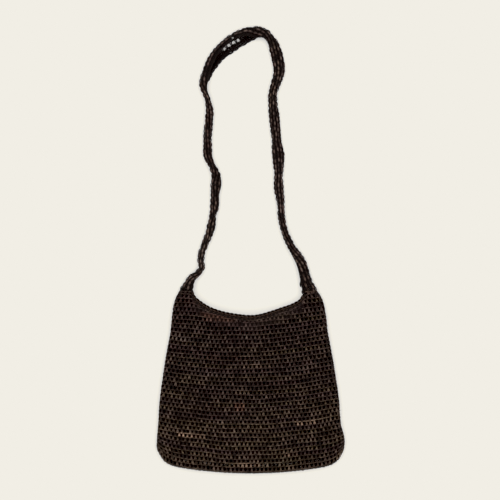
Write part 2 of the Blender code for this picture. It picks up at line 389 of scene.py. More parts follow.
class StringMesh:
    """Collects round strings and makes one piece of them.

    Each string is a row of rings of points. Its own map, named string, holds metres along the
    string and turns around it. The map for baking lays the steps between rings side by side in
    lines, one line above the other, so that no two faces overlap.
    """

    CELL_ASPECT = 3.0
    CELL_FILL = 0.9
    END_RADIUS = 0.35

    def __init__(self, sides: int) -> None:
        """Starts with no string.

        Args:
            sides: how many sides every string has.
        """
        self.sides = sides
        self.points: list[Array] = []
        self.dyes_and_light: list[Array] = []
        self.quads: list[Array] = []
        self.spans: list[Array] = []
        self.ends: list[Array] = []
        self.count = 0
        self.metres = 0.0

    def add(self, rings: Array, dye: Array, wear_and_light: Array, closed: bool) -> None:
        """Adds one string.

        Args:
            rings: points, as (ring, side, xyz) in mm.
            dye: three dye amounts for each ring.
            wear_and_light: how much lighter each point is drawn, from 0 to 1, as (ring, side): painted
                highlight on the raised string and painted shade in the hollows, beside some wear from
                rubbing.
            closed: whether the last ring is followed by the first.
        """
        number = len(rings)
        centres = rings.mean(axis=1)
        if closed:
            centres = np.concatenate([centres, centres[:1]])
        along = self.metres + run_lengths(centres) * METRE
        self.metres = along[-1]
        steps = number if closed else number - 1
        here = np.arange(steps)
        after = (here + 1) % number
        side = np.arange(self.sides)
        turn = (side + 1) % self.sides
        start = self.count
        quads = np.stack(
            [
                start + here[:, None] * self.sides + side,
                start + here[:, None] * self.sides + turn,
                start + after[:, None] * self.sides + turn,
                start + after[:, None] * self.sides + side,
            ],
            axis=2,
        )
        self.quads.append(quads)
        self.spans.append(np.stack([along[:steps], along[1:steps + 1]], axis=1))
        if not closed:
            last = start + (number - 1) * self.sides
            self.ends.append(np.stack([start + side[::-1], last + side]))
        self.points.append(rings.reshape(-1, 3))
        dye = np.repeat(dye, self.sides, axis=0)
        # The fourth channel carries each point's painted highlight and painted shade.
        self.dyes_and_light.append(np.concatenate([dye, wear_and_light.reshape(-1, 1)], axis=1))
        self.count += number * self.sides

    def _maps(self, steps: int, caps: int, spans: Array) -> tuple[Array, Array]:
        """The string's own map and the map for baking, for the corners of all faces.

        Args:
            steps: how many steps between rings there are.
            caps: how many round ends.
            spans: metres along the string at both ends of each step.

        Returns:
            Both maps as (corner, 2), the corners of the quads first and of the ends last.
        """
        sides = self.sides
        side = np.arange(sides)
        u = np.stack([spans[:, 0], spans[:, 0], spans[:, 1], spans[:, 1]], axis=1)
        u = np.repeat(u[:, None, :], sides, axis=1)
        v = np.stack([side, side + 1, side + 1, side], axis=1) / sides
        v = np.broadcast_to(v, (steps, sides, 4))
        cells = steps + caps
        per_line = max(1, math.ceil(math.sqrt(cells * self.CELL_ASPECT)))
        lines = math.ceil(cells / per_line)
        cell = np.arange(cells)
        left, low = cell % per_line, cell // per_line
        margin = (1 - self.CELL_FILL) / 2
        bake_u = (left[:steps, None, None] + np.array([0, 0, 1, 1])) / per_line
        bake_u = np.broadcast_to(bake_u, (steps, sides, 4))
        bake_v = (low[:steps, None, None] + margin + self.CELL_FILL * v) / lines
        angle = 2 * math.pi * side / sides
        cap_u = (left[steps:, None] + 0.5 + self.END_RADIUS * np.cos(angle)) / per_line
        cap_v = (low[steps:, None] + 0.5 + self.END_RADIUS * np.sin(angle)) / lines
        end_u = np.zeros((caps, sides)) + (spans[-1, 1] if steps else 0.0)
        end_v = np.broadcast_to(side / sides, (caps, sides))
        own, bake = (
            np.stack([np.append(quad.ravel(), end.ravel()) for quad, end in pairs], axis=1)
            for pairs in (((u, end_u), (v, end_v)), ((bake_u, cap_u), (bake_v, cap_v)))
        )
        return own, bake

    def build(self, name: str, material: bpy.types.Material) -> bpy.types.Object:
        """Makes the piece.

        Args:
            name: the piece's name.
            material: its finish.

        Returns:
            The mesh object, with its place in its mesh.
        """
        quads = np.concatenate(self.quads)
        steps = len(quads)
        caps = np.concatenate(self.ends) if self.ends else np.zeros((0, self.sides), int)
        corners = np.append(quads.ravel(), caps.ravel())
        totals = np.append(np.full(steps * self.sides, 4), np.full(len(caps), self.sides))
        starts = np.append(0, np.cumsum(totals)[:-1])
        points = np.concatenate(self.points) * METRE
        mesh = bpy.data.meshes.new(name)
        mesh.vertices.add(len(points))
        mesh.vertices.foreach_set("co", points.ravel().astype(np.float32))
        mesh.loops.add(len(corners))
        mesh.loops.foreach_set("vertex_index", corners.astype(np.int32))
        mesh.polygons.add(len(totals))
        mesh.polygons.foreach_set("loop_start", starts.astype(np.int32))
        mesh.polygons.foreach_set("loop_total", totals.astype(np.int32))
        mesh.update(calc_edges=True)
        own, bake = self._maps(steps, len(caps), np.concatenate(self.spans))
        for label, values in (("OFBake", bake), ("string", own)):
            layer = mesh.uv_layers.new(name=label, do_init=False)
            layer.data.foreach_set("uv", values.ravel().astype(np.float32))
        # The dye attribute holds three dye amounts, and in its alpha the painted highlight and painted
        # shade of each point.
        layer = mesh.attributes.new("dye", "FLOAT_COLOR", "POINT")
        layer.data.foreach_set("color", np.concatenate(self.dyes_and_light).ravel().astype(np.float32))
        mesh.shade_smooth()
        mesh.materials.append(material)
        piece = bpy.data.objects.new(name, mesh)
        bpy.context.scene.collection.objects.link(piece)
        return piece


class Dye(Enum):
    """What a stretch of string takes on beyond the bag's own dark brown."""

    TAN = 0
    RUST = 1
    PALE = 2


@dataclass(frozen=True)
class DyeRun:
    """A stretch of string of another shade: x from and to, y of its ridge, the dye and how much."""

    x_from: float
    x_to: float
    y: float
    dye: Dye
    amount: float


FRONT_RUNS = (
    DyeRun(-121, -74, -303, Dye.TAN, 0.95),
    DyeRun(72, 116, -278, Dye.TAN, 0.5),
    DyeRun(-84, -30, -107, Dye.RUST, 0.6),
    DyeRun(-78, -24, -114, Dye.RUST, 0.45),
    DyeRun(-124, -52, -146, Dye.PALE, 0.55),
    DyeRun(-73, -40, -200, Dye.PALE, 0.45),
    DyeRun(-27, -10, -251, Dye.RUST, 0.6),
    DyeRun(-27, -10, -258, Dye.RUST, 0.5),
    DyeRun(-20, 14, -348, Dye.TAN, 0.4),
    DyeRun(58, 78, -336, Dye.TAN, 0.4),
    DyeRun(-12, 42, -190, Dye.TAN, 0.25),
    DyeRun(-18, 8, -140, Dye.PALE, 0.5),
)


def whole_stitch(ridge: tuple, leg: tuple) -> tuple:
    """A stitch's path: a point on the ridge, then down one leg and, mirrored, up the other."""
    return (ridge, *leg, *((-along, *rest) for along, *rest in reversed(leg)))


@dataclass(frozen=True)
class StitchForm:
    """The path of one single crochet stitch, ridge to ridge.

    A stitch's string comes along the ridge, turns down, runs down a leg to a bulge just above the
    ridge below, dips behind that ridge, crosses to the other leg and climbs back to its own ridge.
    Each path row holds the place along the ridge as a share of the pitch, the height as a share of
    the row, how far it stands out of the cloth in mm, and how thick the string is there.
    """

    OPEN = whole_stitch(
        (-0.50, 0.00, 0.60, 0.80),
        (
            (-0.12, 0.00, 0.40, 0.85),
            (-0.055, -0.20, 0.45, 0.90),
            (-0.065, -0.46, 0.85, 1.00),
            (-0.115, -0.70, 1.20, 1.20),
            (-0.135, -0.87, 0.55, 1.10),
            (-0.09, -1.00, -0.90, 0.85),
        ),
    )
    CLOSED = whole_stitch(
        (-0.50, 0.00, 0.85, 0.95),
        (
            (-0.24, -0.02, 0.50, 0.95),
            (-0.20, -0.20, 0.45, 1.00),
            (-0.24, -0.46, 0.75, 1.00),
            (-0.31, -0.70, 1.00, 1.12),
            (-0.32, -0.87, 0.40, 1.05),
            (-0.15, -1.00, -0.90, 0.90),
        ),
    )
    WINDOW_POWER = 1.2

    def ring_count(self) -> int:
        """How many rings one stitch has."""
        return len(self.OPEN)

    def paths(self, openness: Array) -> Array:
        """The path of each stitch, between the closed and the open form by its openness."""
        share = openness[:, None, None]
        return np.array(self.CLOSED) * (1 - share) + np.array(self.OPEN) * share

    def window(self) -> Array:
        """How much of a stitch's own unevenness each ring takes: none at both ends, all at the crossing."""
        place = np.arange(self.ring_count()) / self.ring_count()
        return np.sin(math.pi * place) ** self.WINDOW_POWER

    def side_vectors(self, pitch: float, height: float) -> Array:
        """A direction square to the string at each ring of a stitch, carried along without twisting.

        Args:
            pitch: the stitch's width in mm.
            height: its height in mm.

        Returns:
            Directions as (ring, 3), along the ridge, up the cloth and out of it.
        """
        path = np.array(self.OPEN)[:, :3] * (pitch, height, 1.0)
        path = np.concatenate([path, path[:1] + (pitch, 0, 0)])
        steps = unit(np.diff(path, axis=0))
        tangents = unit(steps + np.roll(steps, 1, axis=0))
        side = np.array([0.0, 0.0, 1.0])
        sides = []
        for tangent in tangents:
            side = unit(side - (side @ tangent) * tangent)
            sides.append(side)
        final = unit(side - (side @ tangents[0]) * tangents[0])
        first = sides[0]
        other = np.cross(tangents[0], first)
        slip = math.atan2(final @ other, final @ first)
        turns = -slip * np.arange(len(sides)) / len(sides)
        sides = np.array(sides)
        others = np.cross(tangents, sides)
        return np.cos(turns)[:, None] * sides + np.sin(turns)[:, None] * others


# One loop of a chain: the place along it as a share of the pitch, then to the side and up as shares of
# its half width. The string goes out along one leg and back along the other, and on under the next.
CHAIN_LOOP = (
    (0.00, 0.00, -1.00),
    (0.20, -0.60, -0.40),
    (0.45, -1.00, 0.40),
    (0.75, -0.90, 0.55),
    (1.04, -0.40, -0.30),
    (1.07, 0.40, -0.30),
    (0.78, 0.90, 0.55),
    (0.48, 1.00, 0.40),
    (0.22, 0.50, -0.40),
    (0.35, 0.05, -1.00),
    (0.70, -0.05, -1.00),
)


@dataclass
class ClothLine:
    """Points along a string on the cloth.

    They come with the directions out of the cloth, a direction that the string's first side faces,
    the height out of the cloth in mm, and how strongly the painted highlight and shade follow that height.
    """

    centres: Array
    normals: Array
    sides: Array
    out: Array
    light_gain: Array

    def at(self, chosen: Array) -> ClothLine:
        """The chosen points."""
        parts = (self.centres, self.normals, self.sides, self.out, self.light_gain)
        return ClothLine(*(part[chosen] for part in parts))


@dataclass
class Crochet:
    """Rows of single crochet on a surface.

    pitch and height are the size of a stitch and radius that of its string, in mm. A stitch's form
    follows its openness, from 0 for closed to 1 for open. lean and unevenness say how far it strays.
    The string along a ridge is plain, or a chain where crown holds its half width and its lift, and
    it takes on ridge_dye of a run's dye. bars are the strings behind the posts, as shares of the row
    below its ridge. post_relief and post_out scale and shift how far a post stands out of the cloth,
    and join_relief is how much farther it does at the ridge.
    """

    surface: ClothSurface
    pitch: float
    height: float
    radius: float
    seed: int
    openness: float = 0.9
    openness_spread: float = 0.18
    lean: float = 0.03
    unevenness: float = 0.34
    ridge_radius: float = 0.66
    ridge_out: float = 0.8
    ridge_wave: float = 0.3
    ridge_dye: float = 0.3
    crown: tuple = ()
    crown_jitter: float = 0.3
    bars: tuple = (0.24, 0.48, 0.72)
    bar_radius: float = 1.3
    bar_depth: float = 1.0
    post_relief: float = 0.88
    post_out: float = 0.0
    join_relief: float = 0.8
    form: StitchForm = field(default_factory=StitchForm)

    SIDES = 5
    RIDGE_RINGS = 4
    BAR_RINGS = 2
    DROP_OVER = 0.85
    # How the string is drawn lighter with its height out of the cloth, and how much that differs from
    # stitch to stitch: painted highlight and painted shade.
    DEEPEST = -0.3
    LIGHT_REACH = 2.5
    LIGHT_POWER = 2.5
    LIGHT_GAIN_SPREAD = 0.3
    OPENNESS_LIMITS = (-0.2, 1.2)
    LEAN_SPREAD = 0.035
    RADIUS_SPREAD = 0.05
    UNEVEN_UP = 0.6
    UNEVEN_OUT = 0.5
    RIDGE_UP = 0.35
    RIDGE_SWAY = 0.45
    CROWN_SLIP = 0.2
    CROWN_PROUD = 0.7
    FIRST_SWAY = 0.3
    FIRST_WAVE = 0.25
    FIRST_SINK = 0.4

    def _tube(self, line: ClothLine, radii: Array, closed: bool) -> tuple[Array, Array]:
        """Rings around a line on the cloth, and how much lighter their points are drawn: painted highlight
        where the string stands out of the cloth and painted shade in the hollows, beside some wear from
        rubbing.

        Args:
            line: the string's middle.
            radii: the string's radius at each point of it.
            closed: whether the line closes on itself.

        Returns:
            Points as (ring, side, xyz), and how much lighter they are drawn: a power of their height out of
            the cloth, painted highlight and painted shade beside some wear from rubbing.
        """
        rings, ring = rings_around(line.centres, line.sides, radii, self.SIDES, closed)
        facing = (ring * line.normals[:, None, :]).sum(axis=2)
        height = line.out[:, None] + facing * radii[:, None]
        # Lighter with the height out of the cloth: painted highlight on the raised string, painted shade
        # deep in the cloth.
        lit_height = (height - self.DEEPEST) / self.LIGHT_REACH * line.light_gain[:, None]
        return rings, np.clip(lit_height, 0, 1) ** self.LIGHT_POWER

    def _place(
        self, arcs: Array, rows: Array, out: Array, lengths: Array
    ) -> tuple[Array, Array, Array]:
        """Points on the cloth, the directions out of it, and the grid places they lie at.

        Args:
            arcs: how far along the row's line, in mm.
            rows: which crochet row, in fractions.
            out: how far out of the cloth, in mm.
            lengths: the lengths along the row's line at the grid columns.

        Returns:
            Points and directions as (..., 3), and the column places.
        """
        if self.surface.closed:
            arcs = np.mod(arcs, lengths[-1])
        place = np.interp(arcs, lengths, np.arange(len(lengths)))
        rows = self.surface.held_row(rows, place)
        points = self.surface.read(self.surface.points, rows, place)
        normals = self.surface.read(self.surface.outwards, rows, place)
        points = points + normals * out[..., None]
        points[..., 2] = np.maximum(points[..., 2], self.radius)
        return points, normals, place

    def _world(self, local: Array, rows: Array, place: Array) -> Array:
        """Turns directions along, up and out of the cloth into directions in space."""
        parts = (self.surface.along, self.surface.across, self.surface.outwards)
        return sum(
            local[..., i, None] * self.surface.read(part, rows, place) for i, part in enumerate(parts)
        )

    def _runs(self, keep: Array) -> list[tuple[int, int]]:
        """The unbroken runs of kept stitches, which go on round the row if it is closed.

        Args:
            keep: which stitches are kept.

        Returns:
            Each run's first stitch and its count.
        """
        number = len(keep)
        gaps = np.flatnonzero(~keep)
        start = (gaps[0] + 1) if (len(gaps) and self.surface.closed) else 0
        runs = []
        at = 0
        while at < number:
            if keep[(start + at) % number]:
                count = 1
                while at + count < number and keep[(start + at + count) % number]:
                    count += 1
                runs.append(((start + at) % number, count))
                at += count
            at += 1
        return runs

    def work(
        self,
        mesh: StringMesh,
        strands: StringMesh,
        row: int,
        phase: float,
        dye_at: Callable[[Array, int], Array],
        opened: Callable[[Array, Array], tuple[Array, Array]],
    ) -> None:
        """Works one row of stitches into a mesh, and the strings that run past them into another.

        Args:
            mesh: takes the row's stitches.
            strands: takes the string along their ridge and the bars behind their posts.
            row: the row's number, 1 or more.
            phase: where the first stitch starts, as a share of the pitch.
            dye_at: gives the dye amounts for points of this row.
            opened: gives how far the stitches before given holes are held open, from 0 to 1, and
                which bars lie behind each hole, as (hole, bar).
        """
        lengths = self.surface.row_lengths(row)
        number = round(lengths[-1] / self.pitch)
        pitch = lengths[-1] / number
        rng = np.random.default_rng((self.seed, row))
        stitch = np.arange(number) + phase
        if not self.surface.closed:
            stitch = np.clip(stitch, 0.5, number - 0.5)
        columns = np.arange(len(lengths))
        places = np.interp(np.mod(stitch * pitch, lengths[-1]), lengths, columns)
        beside = np.interp(np.mod((stitch + 0.5) * pitch, lengths[-1]), lengths, columns)
        holes = self.surface.read(self.surface.points, np.full(number, row - 0.5), beside)
        openness = self.openness + self.openness_spread * rng.uniform(-1, 1, number)
        openness, barred = opened(holes, openness)
        line, radii = self._posts(row, stitch, openness, lengths, rng)
        keep = np.ones(number, bool)
        if self.surface.highest is not None:
            edge = np.interp(places, np.arange(len(self.surface.highest)), self.surface.highest)
            keep = row - edge < self.DROP_OVER
        self._string(mesh, line, radii, keep, dye_at(line.centres, row))

        arcs, above, out = self._crowned(number, rng) if self.crown else self._ridge(number)
        light_gain = np.repeat(1 + rng.normal(0.0, self.LIGHT_GAIN_SPREAD, number), len(arcs) // number)
        arcs = (arcs + phase - 0.5) * pitch
        line = self._line(arcs, row + above / self.height, out, lengths, light_gain)
        radii = np.full(len(arcs), self.ridge_radius)
        self._string(strands, line, radii, keep, self.ridge_dye * dye_at(line.centres, row))

        share = np.arange(number * self.BAR_RINGS) / self.BAR_RINGS
        arcs = (share + phase) * pitch
        radii = np.full(len(arcs), self.bar_radius)
        depths = np.full(len(arcs), -self.bar_depth)
        for bar, behind in enumerate(self.bars):
            line = self._line(arcs, np.full(len(arcs), row - behind), depths, lengths)
            self._string(strands, line, radii, keep & barred[:, bar], dye_at(line.centres, row))

    def _posts(
        self, row: int, stitch: Array, openness: Array, lengths: Array, rng: np.random.Generator
    ) -> tuple[ClothLine, Array]:
        """The string of a row's stitches.

        Args:
            row: the row's number.
            stitch: where the stitches are, in pitches along the row.
            openness: how open each stitch is.
            lengths: the lengths along the row's line at the grid columns.
            rng: draws each stitch's own unevenness, lean, gain of painted light and thickness, in this
                order.

        Returns:
            The string's middle, each stitch's path after the other's, and its radius there.
        """
        number = len(stitch)
        pitch = lengths[-1] / number
        paths = self.form.paths(np.clip(openness, *self.OPENNESS_LIMITS))
        window = self.form.window()[None, :]
        uneven = rng.normal(0.0, self.unevenness, (3, number, 1)) * window
        lean = (self.lean + rng.normal(0.0, self.LEAN_SPREAD, (number, 1))) * window
        tau = paths[:, :, 0] * pitch + uneven[0] + lean * pitch
        rows = row + paths[:, :, 1] + self.UNEVEN_UP * uneven[1] / self.height
        out = paths[:, :, 2] * self.post_relief + self.post_out + self.UNEVEN_OUT * uneven[2]
        out[:, 0] += self.join_relief
        centres, normals, place = self._place(stitch[:, None] * pitch + tau, rows, out, lengths)
        sides = np.broadcast_to(self.form.side_vectors(pitch, self.height), centres.shape)
        sides = self._world(sides, rows, place)
        light_gain = np.repeat(1 + rng.normal(0.0, self.LIGHT_GAIN_SPREAD, (number, 1)), out.shape[1], axis=1)
        vectors = (part.reshape(-1, 3) for part in (centres, normals, sides))
        radii = self.radius * paths[:, :, 3] * (1 + rng.normal(0.0, self.RADIUS_SPREAD, (number, 1)))
        return ClothLine(*vectors, out.ravel(), light_gain.ravel()), radii.ravel()

    def found(self, strands: StringMesh, row: float, dye_at: Callable[[Array, int], Array]) -> None:
        """Works the foundation string along the cloth's first edge, which the first row hangs on.

        Args:
            strands: takes the string.
            row: where the edge is, in crochet rows.
            dye_at: gives the dye amounts for points of a row.
        """
        lengths = self.surface.row_lengths(row)
        number = round(lengths[-1] / self.pitch)
        arcs = np.arange(number * self.RIDGE_RINGS) / self.RIDGE_RINGS * (lengths[-1] / number)
        wave = np.cos(math.pi * np.arange(len(arcs)))
        rows = row + self.FIRST_SWAY * wave / self.height
        line = self._line(arcs, rows, self.FIRST_WAVE * wave - self.FIRST_SINK, lengths)
        self._string(strands, line, np.ones(len(arcs)), np.ones(number, bool), dye_at(line.centres, 0))

    def _ridge(self, number: int) -> tuple[Array, Array, Array]:
        """A plain string along the ridge.

        Args:
            number: how many stitches it passes.

        Returns:
            Places in pitches, heights above the row and heights out of the cloth in mm. The heights
            follow a cosine, once for each stitch.
        """
        share = np.arange(number * self.RIDGE_RINGS) / self.RIDGE_RINGS
        wave = -np.cos(2 * math.pi * share)
        return share, self.RIDGE_UP - self.RIDGE_SWAY * wave, self.ridge_out + self.ridge_wave * wave

    def _crowned(self, number: int, rng: np.random.Generator) -> tuple[Array, Array, Array]:
        """A chain along the ridge.

        Args:
            number: how many loops it has.
            rng: draws how far each loop slips along, to the side and out.

        Returns:
            What _ridge() returns, for the chain's loops one after the other.
        """
        loop = np.array(CHAIN_LOOP)
        half, lift = self.crown
        slip, side, proud = rng.normal(0.0, self.crown_jitter, (3, number, 1))
        share = np.arange(number)[:, None] + self.CROWN_SLIP * slip + loop[:, 0]
        above = loop[:, 1] * half + side
        out = self.ridge_out + self.CROWN_PROUD * proud + loop[:, 2] * lift
        return share.ravel(), above.ravel(), out.ravel()

    def _line(
        self, arcs: Array, rows: Array, out: Array, lengths: Array, light_gain: Array | None = None
    ) -> ClothLine:
        """A line along the cloth, its sides turned out of the cloth."""
        centres, normals, _ = self._place(arcs, rows, out, lengths)
        return ClothLine(centres, normals, normals, out, np.ones(len(out)) if light_gain is None else light_gain)

    def _string(self, mesh: StringMesh, line: ClothLine, radii: Array, keep: Array, dye: Array) -> None:
        """Adds the unbroken runs of a row's string to a mesh.

        Args:
            mesh: the string mesh that takes them.
            line: the string's middle, with as many points for each stitch.
            radii: the string's radius at each point.
            keep: which stitches the string passes.
            dye: the dye amounts at each point.
        """
        number = len(keep)
        total = len(line.centres)
        per = total // number
        for first, count in self._runs(keep):
            whole = count == number and self.surface.closed
            chosen = first * per + np.arange(count * per + (0 if whole else 1))
            if not self.surface.closed:
                chosen = chosen[chosen < total]
            chosen = chosen % total
            rings, wear_and_light = self._tube(line.at(chosen), radii[chosen], whole)
            mesh.add(rings, dye[chosen], wear_and_light, whole)


@dataclass
class PouchShape:
    """The plan and the heights of the pouch, in mm, as its solid has them."""

    cloth: float = 3.6
    root_y: float = -67.0
    shoulder_y: float = -104.0
    base_y: float = -369.6
    base_sag: float = 16.0
    corner_rise: float = 19.0
    corner_power: int = 18
    fold_reach: float = 7.0
    fold_height: float = 6.2
    root_height: float = 11.0
    rim_height: float = 14.2
    belly_height: float = 18.6
    seat_gap: float = 0.3
    edging_radius: float = 2.3
    edging_tip: float = 0.45
    edging_taper: float = 0.08
    back_rim_proud: float = 2.6

    RIM_POINTS = 201
    BELLY_ACROSS = 0.7
    BELLY_UP = 0.8
    BELLY_TURN = 0.86

    def side_folds(self, y: Array) -> tuple[Array, Array]:
        """Where the middle of the cloth turns over at the sides.

        Args:
            y: heights in plan.

        Returns:
            The left and the right fold: the bag's sides less half the cloth's thickness.
        """
        knots = column(SIDES, SIDE_COLUMNS, "y")
        left = through(knots, column(SIDES, SIDE_COLUMNS, "left"), y)
        right = through(knots, column(SIDES, SIDE_COLUMNS, "right"), y)
        return left + self.cloth / 2, right - self.cloth / 2

    def base_fold(self, share: Array) -> Array:
        """Where the cloth turns over at the base: a shallow square curve with raised, rounded corners."""
        q = np.abs(2 * share - 1)
        return (
            self.base_y
            + self.cloth / 2
            + self.base_sag * q**2
            + self.corner_rise * q**self.corner_power
        )

    def cord_radius(self, share: Array) -> Array:
        """The edging's radius at a share of its length, drawn out towards both ends."""
        full = smooth_step(np.minimum(share, 1 - share) / self.edging_taper)
        return self.edging_radius * (self.edging_tip + (1 - self.edging_tip) * full)

    def rim_line(self, back: bool, share: Array) -> Array:
        """The cloth's own edge along the mouth, inside the edging.

        Args:
            back: True for the back wall.
            share: shares of the mouth's outer line, from the left.

        Returns:
            Points in plan: the outer line, moved in by the cord's width and the gap, and in front
            by the part of the back rim that shows above it.
        """
        x = column(RIM, RIM_COLUMNS, "x")
        y = column(RIM, RIM_COLUMNS, "y")
        run = run_lengths(np.stack([x, y], axis=1))
        outer = np.stack([through(run, x, share * run[-1]), through(run, y, share * run[-1])], axis=1)
        inside = 2 * self.cord_radius(share) + self.seat_gap
        if not back:
            taper = smooth_step(np.minimum(share, 1 - share) / self.edging_taper)
            inside = inside + self.back_rim_proud * taper
        return outer - left_normals(outer) * inside[:, None]

    def rim_above(self, back: bool, x: Array, beside: float) -> Array:
        """Where the cloth's edge along the mouth lies.

        Args:
            back: True for the back wall.
            x: places across.
            beside: the height in plan that counts beside the mouth.

        Returns:
            Heights in plan, straight from point to point of the edge.
        """
        line = self.rim_line(back, np.linspace(0, 1, self.RIM_POINTS))
        line = line[np.argsort(line[:, 0])]
        return np.interp(x, line[:, 0], line[:, 1], beside, beside)

    def crease_depth(self, x: Array, y: Array) -> Array:
        """How far the soft troughs lower the front wall.

        Args:
            x, y: points in plan.

        Returns:
            The sum of a bell across each trough's line: its depth times e to the minus square of the
            distance in half widths.
        """
        depth = np.zeros_like(x)
        for x0, y0, x1, y1, half_width, deep in CREASES:
            run = np.array([x1 - x0, y1 - y0], float)
            along = ((x - x0) * run[0] + (y - y0) * run[1]) / (run @ run)
            held = np.clip(along, 0.0, 1.0)
            off = np.hypot(x - x0 - held * run[0], y - y0 - held * run[1])
            depth += deep * np.exp(-((off / half_width) ** 2))
        return depth

    def height(self, share: Array, x: Array, y: Array, back: Array) -> Array:
        """The height of the cloth's middle over the table.

        Args:
            share: share of the width from the left.
            x, y: the point in plan.
            back: True on the back wall.

        Returns:
            The fold's height plus a quarter round from each fold up to the wall's own height.
        """
        left, right = self.side_folds(y)
        side = quarter_round(np.minimum(x - left, right - x), self.fold_reach)
        base = quarter_round(y - self.base_fold(share), self.fold_reach)
        rise = np.clip((y - self.base_y) / (self.root_y - self.base_y), 0, 1)
        across = np.sin(math.pi * np.clip(share, 0, 1)) ** self.BELLY_ACROSS
        belly = across * np.sin(math.pi * self.BELLY_TURN * rise) ** self.BELLY_UP
        shoulder = smooth_step((y - self.shoulder_y) / (self.root_y - self.shoulder_y))
        front = (
            self.rim_height
            + (self.root_height - self.rim_height) * shoulder
            + (self.belly_height - self.rim_height) * belly
            - self.crease_depth(x, y)
        )
        wall = np.where(back, self.cloth / 2, front)
        return self.fold_height + (wall - self.fold_height) * side * base


@dataclass(frozen=True)
class ClothPiece:
    """A piece of crochet, the strings that run along in it, its flat size and its flat area."""

    worked: bpy.types.Object
    carried: bpy.types.Object
    flat: tuple
    area: float | None = None


@dataclass
class PouchCloth:
    """The pouch's crochet: rounds of stitches from the base fold to the mouth and the shoulders.

    pitch, height and string are the size of a stitch and its string's radius, in mm. A round
    hangs row_sag lower in its middle than at its sides, where it is row_tilt higher to the right and
    lower to the left, all in full from row sag_rows on. The base's lifted corners fade by corner_rows.
    The grid has fineness rows for each round and the given columns, and the rounds are split into
    bands. On the back wall they lie higher by back_shift rows, with stitches about as open as
    back_openness. rim_bars is how far below the front rim bars lie behind the posts, in mm.
    """

    shape: PouchShape
    pitch: float = 6.85
    height: float = 7.05
    rows: int = 43
    string: float = 0.76
    row_sag: float = 9.0
    row_tilt: float = 4.0
    sag_rows: float = 40.0
    corner_rows: float = 9.0
    fineness: int = 8
    columns: int = 900
    bands: int = 4
    back_shift: float = 0.5
    back_openness: float = 0.05
    rim_bars: float = 16.0

    # The grid starts past the base fold, on the other wall, and ends past the rim, in rows.
    LOW_ROW = -1.5
    ROWS_PAST = 2.5
    # The cloth's own unevenness: over how many rows it comes and goes, its sizes in rows, shares of
    # the width and mm, and its waves across and up, which differ on the back wall by a shift.
    DRIFT_IN, DRIFT_OUT, DRIFT_END = 4, 5, 3
    ROW_DRIFT, ACROSS_DRIFT, HEIGHT_DRIFT = 0.16, 0.0026, 0.45
    ROW_WAVES, ACROSS_WAVES, HEIGHT_WAVE = (14, 0.35), (9, 0.5), 22
    ROW_BACK, ACROSS_BACK, HEIGHT_BACK = 7, 30, 50
    ROW_SEED, ACROSS_SEED, HEIGHT_SEED = 11, 12, 13
    BACK_ROWS = 3
    BACK_TURN = 2.5
    FIRST_ROWS = 2
    RUN_FADE = 4
    # How the back wall's stitches close: over which heights in mm, and how much spread they keep.
    BACK_MARGIN, BACK_BLEND = 1, 5
    BACK_SPREAD = 0.3
    BACK_BARRED = 0.3
    FOUND_ROW = 0.1
    FIRST_PHASE = 0.25

    def __post_init__(self) -> None:
        """Lays out the surface that the rounds are worked on, and the runs of another shade on it."""
        self.surface = self._surface()
        self.run_rows = self._find_run_rows()

    def _surface(self) -> ClothSurface:
        """The ring-shaped surface of both walls.

        Returns:
            A round starts at the left fold, runs over the front to the right fold and back under it.
            Its share of the width is (1 - cos(pi t)) / 2 for t from 0 to 2, so that it turns smoothly
            at the folds. Rows start at the base fold on a quarter circle; below it lies the other wall.
        """
        low = self.LOW_ROW
        steps = np.arange(round((self.rows + self.ROWS_PAST - low) * self.fineness) + 1)
        rows = low + steps / self.fineness
        t = np.arange(self.columns) * 2 / self.columns
        above = np.abs(rows)[:, None]
        points = self._point(above, np.broadcast_to(t, (len(rows), len(t))))
        mirrored = self._point(above, np.broadcast_to(np.mod(2 - t, 2), (len(rows), len(t))))
        points = np.where((rows < 0)[:, None, None], mirrored, points)
        surface = ClothSurface(points, low, 1 / self.fineness, closed=True)
        surface.highest = self._highest(points, rows, t)
        return surface

    def _point(self, row: Array, t: Array) -> Array:
        """Points of the cloth.

        Args:
            row: rows above the base.
            t: places round the bag, from 0 at the left fold over 1 at the right one to 2.

        Returns:
            Points as (..., xyz). Their height in plan is the base line, plus the row's rise off the
            quarter circle, plus a sag with the square of the place across, a slight tilt, and the
            lifted corners of the base.
        """
        shape = self.shape
        back = t >= 1
        share = (1 - np.cos(math.pi * t)) / 2
        q = 2 * share - 1
        fade = smooth_step(row / self.sag_rows)
        held = smooth_step(row / self.DRIFT_IN)
        held = held * smooth_step((self.rows + self.DRIFT_END - row) / self.DRIFT_OUT)
        behind = smooth_step(-self.BACK_TURN * np.sin(math.pi * t))
        row = row + self.back_shift * smooth_step(row / self.BACK_ROWS) * behind
        across, up = self.ROW_WAVES
        drift = wander(share * across + self.ROW_BACK * back, row * up, self.ROW_SEED)
        row = row + self.ROW_DRIFT * held * drift
        across, up = self.ACROSS_WAVES
        drift = wander(share * across, row * up + self.ACROSS_BACK * back, self.ACROSS_SEED)
        share = np.clip(share + self.ACROSS_DRIFT * held * np.sin(math.pi * share) * drift, 0, 1)
        reach = shape.fold_reach
        quarter = reach * math.pi / 2
        d = row * self.height
        turned = reach * (1 - np.cos(np.minimum(d, quarter) / reach))
        rise = np.where(d < quarter, turned, reach + d - quarter)
        sag = shape.base_sag + (self.row_sag - shape.base_sag) * fade
        corner = shape.corner_rise * (1 - smooth_step(row / self.corner_rows))
        y = (
            shape.base_y
            + shape.cloth / 2
            + rise
            + sag * q**2
            + self.row_tilt * fade * q
            + corner * np.abs(q) ** shape.corner_power
        )
        left, right = shape.side_folds(y)
        x = left + share * (right - left)
        z = shape.height(share, x, y, back)
        long = self.HEIGHT_WAVE
        drift = wander(x / long, y / long + self.HEIGHT_BACK * back, self.HEIGHT_SEED)
        z = z + self.HEIGHT_DRIFT * held * np.sin(math.pi * share) * drift * ~back
        return np.stack([x, y, z], axis=-1)

